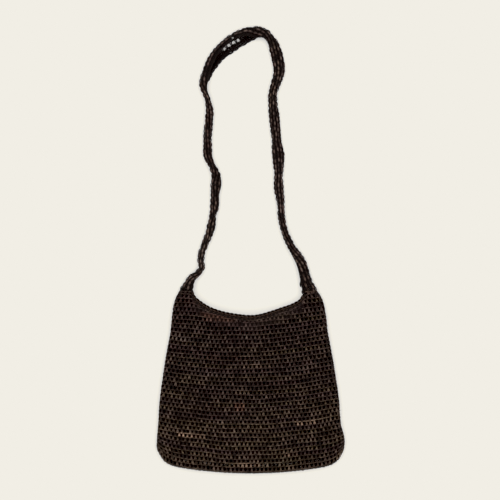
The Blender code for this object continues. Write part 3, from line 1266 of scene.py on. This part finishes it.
    def _highest(self, points: Array, rows: Array, t: Array) -> Array:
        """Where the cloth ends at the rim or the top of a shoulder.

        Args:
            points: the cloth's points at the grid rows and columns.
            rows: the crochet row of each grid row.
            t: the place round the bag of each grid column.

        Returns:
            The highest row of each grid column, less the string's radius.
        """
        over = np.zeros(points.shape[:2])
        for back in (False, True):
            rim = self.shape.rim_above(back, points[..., 0], self.shape.root_y)
            rim = np.minimum(rim, self.shape.root_y)
            over = np.where((t >= 1) == back, points[..., 1] - rim, over)
        over[rows < self.FIRST_ROWS] = -1
        first = np.argmax(over > 0, axis=0)
        before = np.take_along_axis(over, (first - 1)[None, :], axis=0)[0]
        after = np.take_along_axis(over, first[None, :], axis=0)[0]
        part = -before / (after - before)
        return rows[first - 1] + part / self.fineness - self.string / self.height

    def _dye(self, centres: Array, row: int) -> Array:
        """The dye amounts along a row.

        Args:
            centres: points of the row's string.
            row: the row's number.

        Returns:
            Amounts as (point, dye). Each run is full inside its ends and fades over RUN_FADE mm.
        """
        dye = np.zeros((len(centres), 3))
        x, z = centres[:, 0], centres[:, 2]
        for run, number in self.run_rows.items():
            if number == row:
                begun = smooth_step((x - run.x_from) / self.RUN_FADE + 0.5)
                inside = begun * smooth_step((run.x_to - x) / self.RUN_FADE + 0.5)
                dye[:, run.dye.value] += run.amount * inside * (z > self.shape.fold_height)
        return np.clip(dye, 0, 1)

    def _find_run_rows(self) -> dict[DyeRun, int]:
        """Where the runs of another shade lie on the front wall.

        Returns:
            For each run, the row whose ridge is nearest to its middle.
        """
        found = {}
        front = self.surface.points[:, : self.columns // 2]
        for run in FRONT_RUNS:
            middle = (run.x_from + run.x_to) / 2
            off = np.hypot(front[..., 0] - middle, front[..., 1] - run.y)
            grid_row = np.unravel_index(np.argmin(off), off.shape)[0]
            found[run] = round(self.surface.first_row + grid_row * self.surface.row_step)
        return found

    def _opened(self, holes: Array, openness: Array) -> tuple[Array, Array]:
        """Holds the back wall's stitches close, with bars behind their posts.

        The rows next to the front rim have the bars too, so that no floor shows under the edging.

        Args:
            holes: the middles of the holes after the stitches of a row.
            openness: how open the stitches are.

        Returns:
            How open they are held, and which bars lie behind each hole, as (hole, bar).
        """
        height = holes[:, 2] - self.shape.fold_height
        close = 1 - smooth_step((height - self.BACK_MARGIN) / self.BACK_BLEND)
        closed = self.back_openness + self.BACK_SPREAD * (openness - 1)
        openness = openness + (closed - openness) * close
        top = self.shape.rim_above(False, holes[:, 0], np.inf)
        barred = (close > self.BACK_BARRED) | (holes[:, 1] > top - self.rim_bars)
        return openness, np.repeat(barred[:, None], len(Crochet.bars), axis=1)

    def flat_size(self, low: int, high: int) -> tuple[tuple, float]:
        """The size of the cloth between two rows, laid out flat.

        Args:
            low: the lower row.
            high: the higher one.

        Returns:
            Its width round the bag and its height, in metres, and its area in square metres: the sum
            of the surface's cells that lie below the rim and the shoulders.
        """
        rows = self.surface.first_row + np.arange(len(self.surface.points)) * self.surface.row_step
        chosen = (rows >= low) & (rows <= high)
        points = self.surface.points[chosen] * METRE
        points = np.concatenate([points, points[:, :1]], axis=1)
        along = np.linalg.norm(np.diff(points, axis=1), axis=2)
        across = np.linalg.norm(np.diff(points, axis=0), axis=2)[:, :-1]
        worked = rows[chosen][:-1, None] < self.surface.highest[None, :]
        area = float((along[:-1] * across * worked).sum())
        return (float(along.sum(axis=1).max()), float(across.sum(axis=0).max())), area

    def build(self, material: bpy.types.Material) -> list[ClothPiece]:
        """Works all rounds, in bands of rows that are a piece of cloth each.

        Args:
            material: the string's finish.

        Returns:
            The bands, from the base up.
        """
        crochet = Crochet(self.surface, self.pitch, self.height, self.string, seed=5)
        names = ("pouch_base", "pouch_lower", "pouch_upper", "pouch_top")
        edges = np.round(np.linspace(0, self.rows, self.bands + 1)).astype(int)
        pieces = []
        for name, low, high in zip(names, edges[:-1], edges[1:]):
            mesh, strands = StringMesh(Crochet.SIDES), StringMesh(Crochet.SIDES)
            if low == 0:
                crochet.found(strands, self.FOUND_ROW, self._dye)
            for row in range(low + 1, high + 1):
                phase = self.FIRST_PHASE + 0.5 * (row % 2)
                crochet.work(mesh, strands, row, phase, self._dye, self._opened)
            worked = mesh.build(name + "_rows", material)
            carried = strands.build(name + "_strands", material)
            pieces.append(ClothPiece(worked, carried, *self.flat_size(low, high)))
        return pieces


@dataclass
class StrapCloth:
    """The strap's crochet: lengthwise rows on a band that is curled into most of an ellipse.

    pitch, height and string are the size of a stitch and its string's radius, in mm. The grid has a
    column every step mm and fineness rows for each row of stitches. slots are the see-through holes
    in plan, which open where a hole of the crochet lies within slot_reach mm of one across the row.
    The band goes on by overlap mm into the shoulders.
    """

    cloth: float = 3.6
    rows: int = 6
    pitch: float = 8.5
    height: float = 4.8
    string: float = 0.85
    step: float = 1.9
    fineness: int = 8
    slots: tuple = (
        (-31.4, 349.0),
        (-29.4, 345.2),
        (-27.6, 341.1),
        (-20.3, 347.8),
        (-47.0, 334.3),
        (-38.8, 336.6),
        (-44.6, 329.2),
    )
    slot_reach: float = 2.2
    slot_openness: float = 0.8
    overlap: float = 5.5

    LOW_ROW = -0.5

    def __post_init__(self) -> None:
        """Lays out the band's surface."""
        self.surface = self._surface()

    def _surface(self) -> ClothSurface:
        """The middle of the band.

        Returns:
            A section is the part of an ellipse that the opening leaves, stretched to its outer width
            and height less the cloth's thickness and set down on the table. Its rows run from one
            edge to the other, so that out of the cloth is out of the curl.
        """
        x = column(STRAP, STRAP_COLUMNS, "x")
        y = column(STRAP, STRAP_COLUMNS, "y")
        run = run_lengths(np.stack([x, y], axis=1))
        at = np.linspace(0, run[-1], round(run[-1] / self.step) + 1)
        at = np.concatenate([[-self.overlap], at, [run[-1] + self.overlap]])
        place = np.stack([through(run, x, at), through(run, y, at)], axis=1)
        place[0] = place[1] - (0, self.overlap)
        place[-1] = place[-2] - (0, self.overlap)
        wide = through(run, column(STRAP, STRAP_COLUMNS, "wide"), at) - self.cloth
        high = through(run, column(STRAP, STRAP_COLUMNS, "high"), at) - self.cloth
        gap = through(run, np.radians(column(STRAP, STRAP_COLUMNS, "open")), at)
        faces = through(run, np.radians(column(STRAP, STRAP_COLUMNS, "faces")), at)
        steps = round((self.rows - 2 * self.LOW_ROW) * self.fineness)
        rows = self.LOW_ROW + np.arange(steps + 1) / self.fineness
        share = (rows / self.rows)[:, None]
        turn = (faces + gap / 2) + (2 * math.pi - gap) * share
        sideways, upwards = np.cos(turn), np.sin(turn)
        body = (rows >= 0) & (rows <= self.rows)
        low, far = sideways[body].min(axis=0), sideways[body].max(axis=0)
        sideways = (sideways - (low + far) / 2) * (wide / (far - low))
        low, far = upwards[body].min(axis=0), upwards[body].max(axis=0)
        upwards = (upwards - low) * (high / (far - low)) + self.cloth / 2
        inwards = -left_normals(place)
        inwards[:2] = (1, 0)
        inwards[-2:] = (-1, 0)
        flat = place[None, :, :] + sideways[:, :, None] * inwards[None, :, :]
        points = np.concatenate([flat, upwards[:, :, None]], axis=2)
        return ClothSurface(points, self.LOW_ROW, 1 / self.fineness, closed=False)

    def flat_size(self) -> tuple[float, float]:
        """The size of the band, laid out flat.

        Returns:
            Its mean width and its mean length, in metres.
        """
        points = self.surface.points[self.fineness // 2 : -self.fineness // 2] * METRE
        across = np.linalg.norm(np.diff(points, axis=0), axis=2).sum(axis=0).mean()
        along = np.linalg.norm(np.diff(points, axis=1), axis=2).sum(axis=1).mean()
        return float(across), float(along)

    def _opened(self, holes: Array, openness: Array) -> tuple[Array, Array]:
        """Holds the stitches at the see-through slots wide open, without their two bars.

        A hole is at a slot when the slot lies within half a stitch along the row from it, and
        within slot_reach across the row.

        Args:
            holes: the middles of the holes after the stitches of a row.
            openness: how open the stitches are.

        Returns:
            How open they are held, and which bars lie behind each hole, as (hole, bar).
        """
        near = np.zeros(len(holes), bool)
        along = unit(np.gradient(holes[:, :2], axis=0))
        for slot in self.slots:
            off = np.array(slot) - holes[:, :2]
            past = np.abs((off * along).sum(axis=1))
            beside = np.abs(off[:, 0] * along[:, 1] - off[:, 1] * along[:, 0])
            near |= (past < self.pitch / 2) & (beside < self.slot_reach)
        wide = near | np.roll(near, 1)
        return np.where(wide, self.slot_openness, openness), np.stack([~near, ~near], axis=1)

    def _dye(self, centres: Array, row: int) -> Array:
        """The strap has no run of another shade."""
        return np.zeros((len(centres), 3))

    def build(self, material: bpy.types.Material) -> ClothPiece:
        """Works all rows as one piece of cloth.

        Args:
            material: the string's finish.

        Returns:
            The band.
        """
        crochet = Crochet(
            self.surface, self.pitch, self.height, self.string, seed=23,
            openness=0.2, openness_spread=0.4, lean=0.06, unevenness=0.4,
            ridge_radius=0.66, ridge_out=0.75, crown=(0.5, 1.1), crown_jitter=0.45, join_relief=-0.3,
            bars=(0.3, 0.7), bar_radius=1.5, bar_depth=1.6, post_relief=0.2, post_out=-0.7,
        )
        mesh, strands = StringMesh(Crochet.SIDES), StringMesh(Crochet.SIDES)
        crochet.found(strands, 0.0, self._dye)
        for row in range(1, self.rows + 1):
            crochet.work(mesh, strands, row, 0.5 + 0.5 * (row % 2), self._dye, self._opened)
        worked = mesh.build("strap_rows", material)
        carried = strands.build("strap_strands", material)
        return ClothPiece(worked, carried, self.flat_size())


@dataclass
class Edging:
    """One round of slip stitches along a rim of the mouth: a chain of drop-shaped loops.

    pitch and string are a loop's length and its string's radius, in mm. The loops are worked over a
    core, which stands for the top edge of the last row: core is its radius as a share of the whole
    cord's, and it bites core_bite mm into the cloth's own edge, so that no slit is left between them.
    """

    shape: PouchShape
    back: bool
    pitch: float = 7.0
    string: float = 0.8
    sides: int = 7
    core: float = 0.6
    core_bite: float = 0.7

    LINE_POINTS = 600
    CORE_STEP = 3
    END_ROOM = 1.3
    SLIP = 0.03
    STRING_SHARE = 0.45
    RING_LEAN = 0.3
    # The loops are drawn lighter towards the outside of the cord and darker at its middle: painted
    # highlight and painted shade.
    LIGHT_FROM = 0.55
    LIGHT_REACH = 0.45
    LIGHT_POWER = 3
    SEED = 31

    def centre_line(self, share: Array) -> Array:
        """The middle of the cord.

        Args:
            share: shares of the mouth's line, from the left.

        Returns:
            Points as (point, xyz): the cloth's edge, moved out by the cord's radius and the gap.
        """
        rim = self.shape.rim_line(self.back, share)
        outwards = left_normals(rim)
        line = rim + outwards * (self.shape.cord_radius(share) + self.shape.seat_gap)[:, None]
        left, right = self.shape.side_folds(np.minimum(rim[:, 1], self.shape.root_y))
        across = (rim[:, 0] - left) / (right - left)
        back = np.full(len(rim), self.back)
        z = self.shape.height(across, rim[:, 0], rim[:, 1], back)
        return np.concatenate([line, np.maximum(z, self.shape.cord_radius(share))[:, None]], axis=1)

    def _rings(self, path: Array, across: Array, radius: Array) -> Array:
        """Rings round a path, whose first points look up and slightly across."""
        reference = across * self.RING_LEAN + np.array([0.0, 0.0, 1.0])
        return rings_around(path, reference, radius, self.sides)[0]

    def build(self, name: str, material: bpy.types.Material) -> bpy.types.Object:
        """Works the chain: each loop's path repeats along the centre line, scaled to the cord.

        Args:
            name: the piece's name.
            material: the string's finish.

        Returns:
            The chain and its core as one piece.
        """
        fine = np.linspace(0, 1, self.LINE_POINTS)
        line = self.centre_line(fine)
        run = run_lengths(line)
        number = round(run[-1] / self.pitch) - 1
        pitch = run[-1] / (number + self.END_ROOM)
        loop = np.array(CHAIN_LOOP)
        rng = np.random.default_rng(self.SEED + self.back)
        slip = rng.normal(0, self.SLIP, (number, 1))
        arcs = ((np.arange(number)[:, None] + loop[:, 0] + slip) * pitch).ravel()
        centre = np.stack([np.interp(arcs, run, line[:, i]) for i in range(3)], axis=1)
        nearest = np.round(np.interp(arcs, run, np.arange(len(run)))).astype(int)
        normals = np.concatenate([left_normals(line), np.zeros((len(line), 1))], axis=1)
        across = normals[nearest]
        room = self.shape.cord_radius(arcs / run[-1])
        radius = np.minimum(self.string, self.STRING_SHARE * room)
        swing = room - radius
        side, lift = (np.tile(loop[:, i], number) for i in (1, 2))
        path = centre + across * (side * swing)[:, None]
        path[:, 2] = np.maximum(path[:, 2] + lift * swing, radius)
        rings = self._rings(path, across, radius)
        # Lighter with the distance from the cord's middle: painted highlight on the outside of the loops,
        # painted shade at the middle.
        off = np.linalg.norm(rings - centre[:, None, :], axis=2) / room[:, None]
        wear_and_light = np.clip((off - self.LIGHT_FROM) / self.LIGHT_REACH, 0, 1) ** self.LIGHT_POWER
        mesh = StringMesh(self.sides)
        mesh.add(rings, np.zeros((len(path), 3)), wear_and_light, closed=False)
        cord = self.shape.cord_radius(fine)
        inwards = cord * (1 - self.core) + self.shape.seat_gap + self.core_bite
        core = line - normals * inwards[:, None]
        some = slice(None, None, self.CORE_STEP)
        core = self._rings(core[some], normals[some], self.core * cord[some])
        # The core is drawn at the darkest: painted shade.
        mesh.add(core, np.zeros((len(core), 3)), np.zeros(core.shape[:2]), closed=False)
        LOG.info("%s: %d loops of %.2f mm", name, number, pitch)
        return mesh.build(name, material)


class Wire:
    """A value on its way through a shader, so that shader maths reads as plain expressions."""

    def __init__(self, graph: ShaderGraph, socket: bpy.types.NodeSocket) -> None:
        """Wraps an output socket of a graph."""
        self.graph = graph
        self.socket = socket

    def _math(self, operation: str, a: object, b: object) -> Wire:
        """Adds a Math node on two values."""
        return self.graph.add("ShaderNodeMath", {"operation": operation}, {0: a, 1: b})

    def __add__(self, other: object) -> Wire:
        """Sum."""
        return self._math("ADD", self, other)

    def __radd__(self, other: object) -> Wire:
        """Sum with a number in front."""
        return self._math("ADD", other, self)

    def __sub__(self, other: object) -> Wire:
        """Difference."""
        return self._math("SUBTRACT", self, other)

    def __mul__(self, other: object) -> Wire:
        """Product."""
        return self._math("MULTIPLY", self, other)

    def __rmul__(self, other: object) -> Wire:
        """Product with a number in front."""
        return self._math("MULTIPLY", other, self)

    def sine(self) -> Wire:
        """Sine of the value in radians."""
        return self._math("SINE", self, 0.0)


class ShaderGraph:
    """The nodes of one material, made through one method."""

    def __init__(self, name: str) -> None:
        """Starts a material whose graph holds its output only.

        Args:
            name: the material's name.
        """
        self.material = bpy.data.materials.new(name)
        self.material.use_nodes = True
        self.tree = self.material.node_tree
        self.tree.nodes.clear()
        self.output = self.tree.nodes.new("ShaderNodeOutputMaterial")

    def node(self, kind: str, settings: dict | None = None, sockets: dict | None = None) -> bpy.types.Node:
        """Adds a node.

        Args:
            kind: the node's type.
            settings: its own settings, set first; stops are those of a colour ramp.
            sockets: values or wires for its inputs, by name or number.

        Returns:
            The node.
        """
        node = self.tree.nodes.new(kind)
        for key, value in (settings or {}).items():
            if key == "stops":
                ramp = node.color_ramp
                while len(ramp.elements) < len(value):
                    ramp.elements.new(0.5)
                for element, (position, colour) in zip(ramp.elements, value):
                    element.position = position
                    element.color = (*colour, 1.0)
            else:
                setattr(node, key, value)
        for key, value in (sockets or {}).items():
            if isinstance(value, Wire):
                self.tree.links.new(value.socket, node.inputs[key])
            else:
                node.inputs[key].default_value = value
        return node

    def add(
        self, kind: str, settings: dict | None = None, sockets: dict | None = None, output: object = 0
    ) -> Wire:
        """Adds a node as node() does, and returns one of its outputs as a wire."""
        return Wire(self, self.node(kind, settings, sockets).outputs[output])

    def noise(self, sockets: dict, detail: float, roughness: float, kind: str = "1D") -> Wire:
        """Adds a noise from 0 to 1, mostly around a half.

        Args:
            sockets: values or wires for its place and scale.
            detail: how many finer noises are added to it.
            roughness: how strong each is, as a share of the one before.
            kind: its dimensions.

        Returns:
            The noise's value.
        """
        inputs = {"Scale": 1.0, **sockets, "Detail": detail, "Roughness": roughness}
        return self.add("ShaderNodeTexNoise", {"noise_dimensions": kind}, inputs)

    def mix(self, factor: object, a: object, b: object, blend: str = "MIX") -> Wire:
        """Blends two colours."""
        return self.add(
            "ShaderNodeMix",
            {"data_type": "RGBA", "blend_type": blend, "clamp_factor": True},
            {"Factor": factor, 6: a, 7: b},
            output=2,
        )

    def finish(self, surface: bpy.types.Node) -> bpy.types.Material:
        """Links the surface to the material's output."""
        self.tree.links.new(surface.outputs[0], self.output.inputs["Surface"])
        return self.material


def rgba(colour: tuple) -> tuple:
    """A colour with full cover."""
    return (*colour, 1.0)


@dataclass(frozen=True)
class StringFinish:
    """Matte twisted string, dyed unevenly along its length.

    shades are the colours that the string passes through, along a noise that runs with its length.
    brightness scales them all, from a low level in the hollows, a painted shade, to a high one on the
    raised string, a painted highlight beside some wear from rubbing; the painted highlight also turns
    the string pale by a set share. A gradient makes the string darker and redder towards one place
    along Y, near the mouth, and lighter towards another, near the base: places in metres.
    """

    name: str
    shades: tuple
    brightness: float = 0.585
    tan: tuple = (0.34, 0.215, 0.145)
    rust: tuple = (0.185, 0.080, 0.050)
    pale: tuple = (0.145, 0.109, 0.092)
    runs_per_metre: float = 1.3
    blotches_per_metre: float = 17.0
    patch_scale: float = 11.0
    twist: float = 0.0042
    plies: int = 2
    roughness: float = 0.86
    sheen: float = 0.05
    # The level in the hollows is painted shade; the gain on the raised string is painted highlight beside
    # some wear from rubbing.
    painted_hollow_shade: float = 0.10
    wear_and_light: float = 1.95
    highlight_paling: float = 0.3
    darker_y: float = -0.10
    lighter_y: float = -0.33
    y_gradient: float = 0.0

    HUE_BY_RUNS = 1.7
    HUE_BY_PATCHES = 0.5
    GRADIENT_MIDDLE = 0.65
    BLOTCHES_START = 40.0
    FIBRES_ALONG, FIBRES_TWIST, FIBRES_AROUND = 260.0, 3.0, 9.0
    # What blotches, patches, plies, fibres and runs do to the brightness: a base, and a gain on each. The
    # darker grooves between the plies are painted shade.
    LIGHT = ((0.55, 0.90), (0.84, 0.32), (0.93, 0.13), (0.82, 0.36), (0.55, 0.90))
    BUMP_STRENGTH, BUMP_DISTANCE, PLY_RELIEF = 0.9, 0.00022, 0.35
    SMOOTHER, FIBRE_ROUGHNESS = 0.12, 0.2
    SPECULAR = 0.2
    SHEEN_ROUGHNESS = 0.45

    def build(self) -> bpy.types.Material:
        """Makes the material.

        Returns:
            Shades by a noise along the string, then the runs of dye, then the pale of the painted highlight
            on the raised string, all times one brightness that holds painted shade in the hollows and
            painted highlight on the raised string.
        """
        graph = ShaderGraph(self.name)
        uv = graph.add("ShaderNodeUVMap", {"uv_map": "string"})
        parts = graph.node("ShaderNodeSeparateXYZ", None, {0: uv})
        along, around = Wire(graph, parts.outputs[0]), Wire(graph, parts.outputs[1])
        place = graph.add("ShaderNodeTexCoord", None, None, "Object")
        runs = graph.noise({"W": along * self.runs_per_metre}, 3.0, 0.55)
        blotches = graph.noise({"W": along * self.blotches_per_metre + self.BLOTCHES_START}, 2.0, 0.6)
        patches = graph.noise({"Vector": place, "Scale": self.patch_scale}, 2.0, 0.5, "3D")
        spot = graph.node("ShaderNodeSeparateXYZ", None, {0: place})
        # A gradient along Y: the string is darker and redder towards the mouth and lighter towards the
        # base.
        toward_lighter_y = graph.add(
            "ShaderNodeMapRange",
            None,
            {0: Wire(graph, spot.outputs[1]), 1: self.darker_y, 2: self.lighter_y, 3: 0.0, 4: 1.0},
        )
        hue = (runs - 0.5) * self.HUE_BY_RUNS + (patches - 0.5) * self.HUE_BY_PATCHES + 0.5
        hue = hue + (toward_lighter_y - 0.5) * self.y_gradient
        stops = [(i / (len(self.shades) - 1), shade) for i, shade in enumerate(self.shades)]
        colour = graph.add("ShaderNodeValToRGB", {"stops": stops}, {0: hue})
        dye = graph.node("ShaderNodeAttribute", {"attribute_name": "dye"})
        amounts = graph.node("ShaderNodeSeparateColor", None, {0: Wire(graph, dye.outputs["Color"])})
        for number, shade in enumerate((self.tan, self.rust, self.pale)):
            colour = graph.mix(Wire(graph, amounts.outputs[number]), colour, rgba(shade))
        # The twist of the plies, whose grooves are also drawn darker below: painted shade.
        ply = (along * (2 * math.pi / self.twist) + around * (2 * math.pi * self.plies)).sine()
        lengthways = along * self.FIBRES_ALONG + around * self.FIBRES_TWIST
        weft = graph.add("ShaderNodeCombineXYZ", None, {0: lengthways, 1: around * self.FIBRES_AROUND})
        fibres = graph.noise({"Vector": weft}, 3.0, 0.65, "2D")
        # The dye attribute's alpha: lighter on the raised string and darker in the hollows, painted
        # highlight and painted shade beside some wear from rubbing.
        wear_and_light = Wire(graph, dye.outputs["Alpha"])
        light = self.brightness * (self.painted_hollow_shade + (self.wear_and_light - self.painted_hollow_shade) * wear_and_light)
        for pattern, (base, gain) in zip((blotches, patches, ply, fibres, runs), self.LIGHT):
            light = light * (base + gain * pattern)
        light = light * (1.0 + (toward_lighter_y - self.GRADIENT_MIDDLE) * self.y_gradient)
        # Painted highlight: the raised string turns towards pale.
        colour = graph.mix(wear_and_light * wear_and_light * self.highlight_paling, colour, rgba(self.pale))
        grey = graph.add("ShaderNodeCombineXYZ", None, {0: light, 1: light, 2: light})
        colour = graph.mix(1.0, colour, grey, "MULTIPLY")
        relief = ply * self.PLY_RELIEF + fibres
        bump = graph.add(
            "ShaderNodeBump",
            None,
            {"Strength": self.BUMP_STRENGTH, "Distance": self.BUMP_DISTANCE, "Height": relief},
        )
        surface = graph.node(
            "ShaderNodeBsdfPrincipled",
            None,
            {
                "Base Color": colour,
                "Roughness": self.roughness - self.SMOOTHER + self.FIBRE_ROUGHNESS * fibres,
                "Specular IOR Level": self.SPECULAR,
                "Sheen Weight": self.sheen,
                "Sheen Roughness": self.SHEEN_ROUGHNESS,
                "Normal": bump,
            },
        )
        return graph.finish(surface)


POUCH_SHADES = (
    (0.066, 0.031, 0.022),
    (0.056, 0.030, 0.028),
    (0.054, 0.034, 0.028),
    (0.059, 0.038, 0.025),
    (0.067, 0.045, 0.023),
    (0.055, 0.042, 0.026),
)
STRAP_SHADES = (
    (0.064, 0.029, 0.020),
    (0.055, 0.030, 0.026),
    (0.051, 0.032, 0.027),
    (0.062, 0.038, 0.026),
    (0.049, 0.036, 0.030),
)
EDGING_SHADES = (
    (0.075, 0.034, 0.018),
    (0.068, 0.035, 0.021),
    (0.060, 0.035, 0.023),
    (0.070, 0.043, 0.024),
)


@dataclass
class Studio:
    """A pale floor, soft light from all around, and a camera that looks straight down.

    The light comes from a bright ring of sky. sky holds how bright it is at growing heights of its
    direction, from 0 at the horizon to 1 straight up. The picture's tones are those of the photograph:
    black_level is taken off every value, and each colour channel levels out at floor_tone.
    """

    field_of_view: float = 0.825
    centre_x: float = -0.0008
    look_height: float = 0.007
    lens: float = 120.0
    sensor: float = 36.0
    floor_size: float = 14.0
    floor_colour: tuple = (0.86, 0.85, 0.82)
    sky: tuple = ((0.0, 0.3), (0.3, 0.6), (0.6, 1.0), (0.9, 1.0), (1.0, 0.6))
    world_strength: float = 1.75
    black_level: tuple = (0.0055, 0.0075, 0.0078)
    floor_tone: tuple = (0.879, 0.855, 0.783)
    floor_roughness: float = 0.9
    floor_specular: float = 0.1

    def build(self) -> None:
        """Makes the floor, the world and the camera, and sets the picture's tones."""
        scene = bpy.context.scene
        self._tones(scene.view_settings)
        self._floor()
        world = bpy.data.worlds.new("pale room")
        world.use_nodes = True
        nodes, links = world.node_tree.nodes, world.node_tree.links
        place = nodes.new("ShaderNodeTexCoord")
        parts = nodes.new("ShaderNodeSeparateXYZ")
        ramp = nodes.new("ShaderNodeValToRGB")
        for number, (position, grey) in enumerate(self.sky):
            if number >= len(ramp.color_ramp.elements):
                ramp.color_ramp.elements.new(position)
            ramp.color_ramp.elements[number].position = position
            ramp.color_ramp.elements[number].color = (grey, grey, grey, 1.0)
        links.new(place.outputs["Generated"], parts.inputs[0])
        links.new(parts.outputs[2], ramp.inputs[0])
        links.new(ramp.outputs[0], nodes["Background"].inputs["Color"])
        nodes["Background"].inputs["Strength"].default_value = self.world_strength
        scene.world = world
        camera = bpy.data.cameras.new("overhead camera")
        camera.lens = self.lens
        camera.sensor_width = self.sensor
        view = bpy.data.objects.new("overhead camera", camera)
        distance = self.field_of_view * self.lens / self.sensor
        view.location = (self.centre_x, 0.0, self.look_height + distance)
        scene.collection.objects.link(view)
        scene.camera = view

    def _tones(self, view: bpy.types.ColorManagedViewSettings) -> None:
        """Sinks the darkest values to black, and holds the floor at one even tone.

        Each channel's curve is straight up to one half and levels out where the value is 1.

        Args:
            view: the scene's view settings.
        """
        view.view_transform = "Standard"
        view.use_curve_mapping = True
        mapping = view.curve_mapping
        mapping.black_level = self.black_level
        mapping.extend = "HORIZONTAL"
        for curve, tone in zip(mapping.curves, self.floor_tone):
            curve.points[1].location = (1.0, tone)
            for level in (0.25, 0.5):
                curve.points.new(level, level)
        mapping.update()

    def _floor(self) -> None:
        """The surface that the bag lies on: one large level face."""
        half = self.floor_size / 2
        mesh = bpy.data.meshes.new("floor")
        corners = [(-half, -half, 0), (half, -half, 0), (half, half, 0), (-half, half, 0)]
        mesh.from_pydata(corners, [], [(0, 1, 2, 3)])
        graph = ShaderGraph("pale floor")
        surface = graph.node(
            "ShaderNodeBsdfPrincipled",
            None,
            {
                "Base Color": rgba(self.floor_colour),
                "Roughness": self.floor_roughness,
                "Specular IOR Level": self.floor_specular,
            },
        )
        mesh.materials.append(graph.finish(surface))
        floor = bpy.data.objects.new("floor", mesh)
        bpy.context.scene.collection.objects.link(floor)


def main() -> None:
    """Builds the bag around its frame, one sub-assembly after the other."""
    logging.basicConfig(level=logging.INFO, format="%(name)s: %(message)s")
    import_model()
    Studio().build()

    shape = PouchShape()
    pouch_finish = StringFinish("pouch string", POUCH_SHADES, y_gradient=0.28).build()
    cloths = [(piece, "pouch", "pouch_string") for piece in PouchCloth(shape).build(pouch_finish)]
    # The strap's hollows take a deeper painted shade.
    strap_finish = StringFinish("strap string", STRAP_SHADES, brightness=0.62, painted_hollow_shade=0.03).build()
    cloths.append((StrapCloth().build(strap_finish), "strap", "strap_string"))
    for cloth, node, slot in cloths:
        for piece in (cloth.worked, cloth.carried):
            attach(piece, "root")
            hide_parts(node)
            LOG.info("%s: %d quads", piece.name, len(piece.data.polygons))

    # The back edging takes a darker copy of the same string: painted shade, for the rim that lies behind
    # the front one.
    for side, back, brightness in (("front", False, 0.5), ("back", True, 0.4)):
        finish = StringFinish(
            f"{side} edging string", EDGING_SHADES, brightness=brightness, highlight_paling=0.1
        ).build()
        chain = Edging(shape, back).build(f"{side}_rim_chain", finish)
        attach(chain, "root")
        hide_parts(f"{side}_edging")


if __name__ == "__main__":
    main()
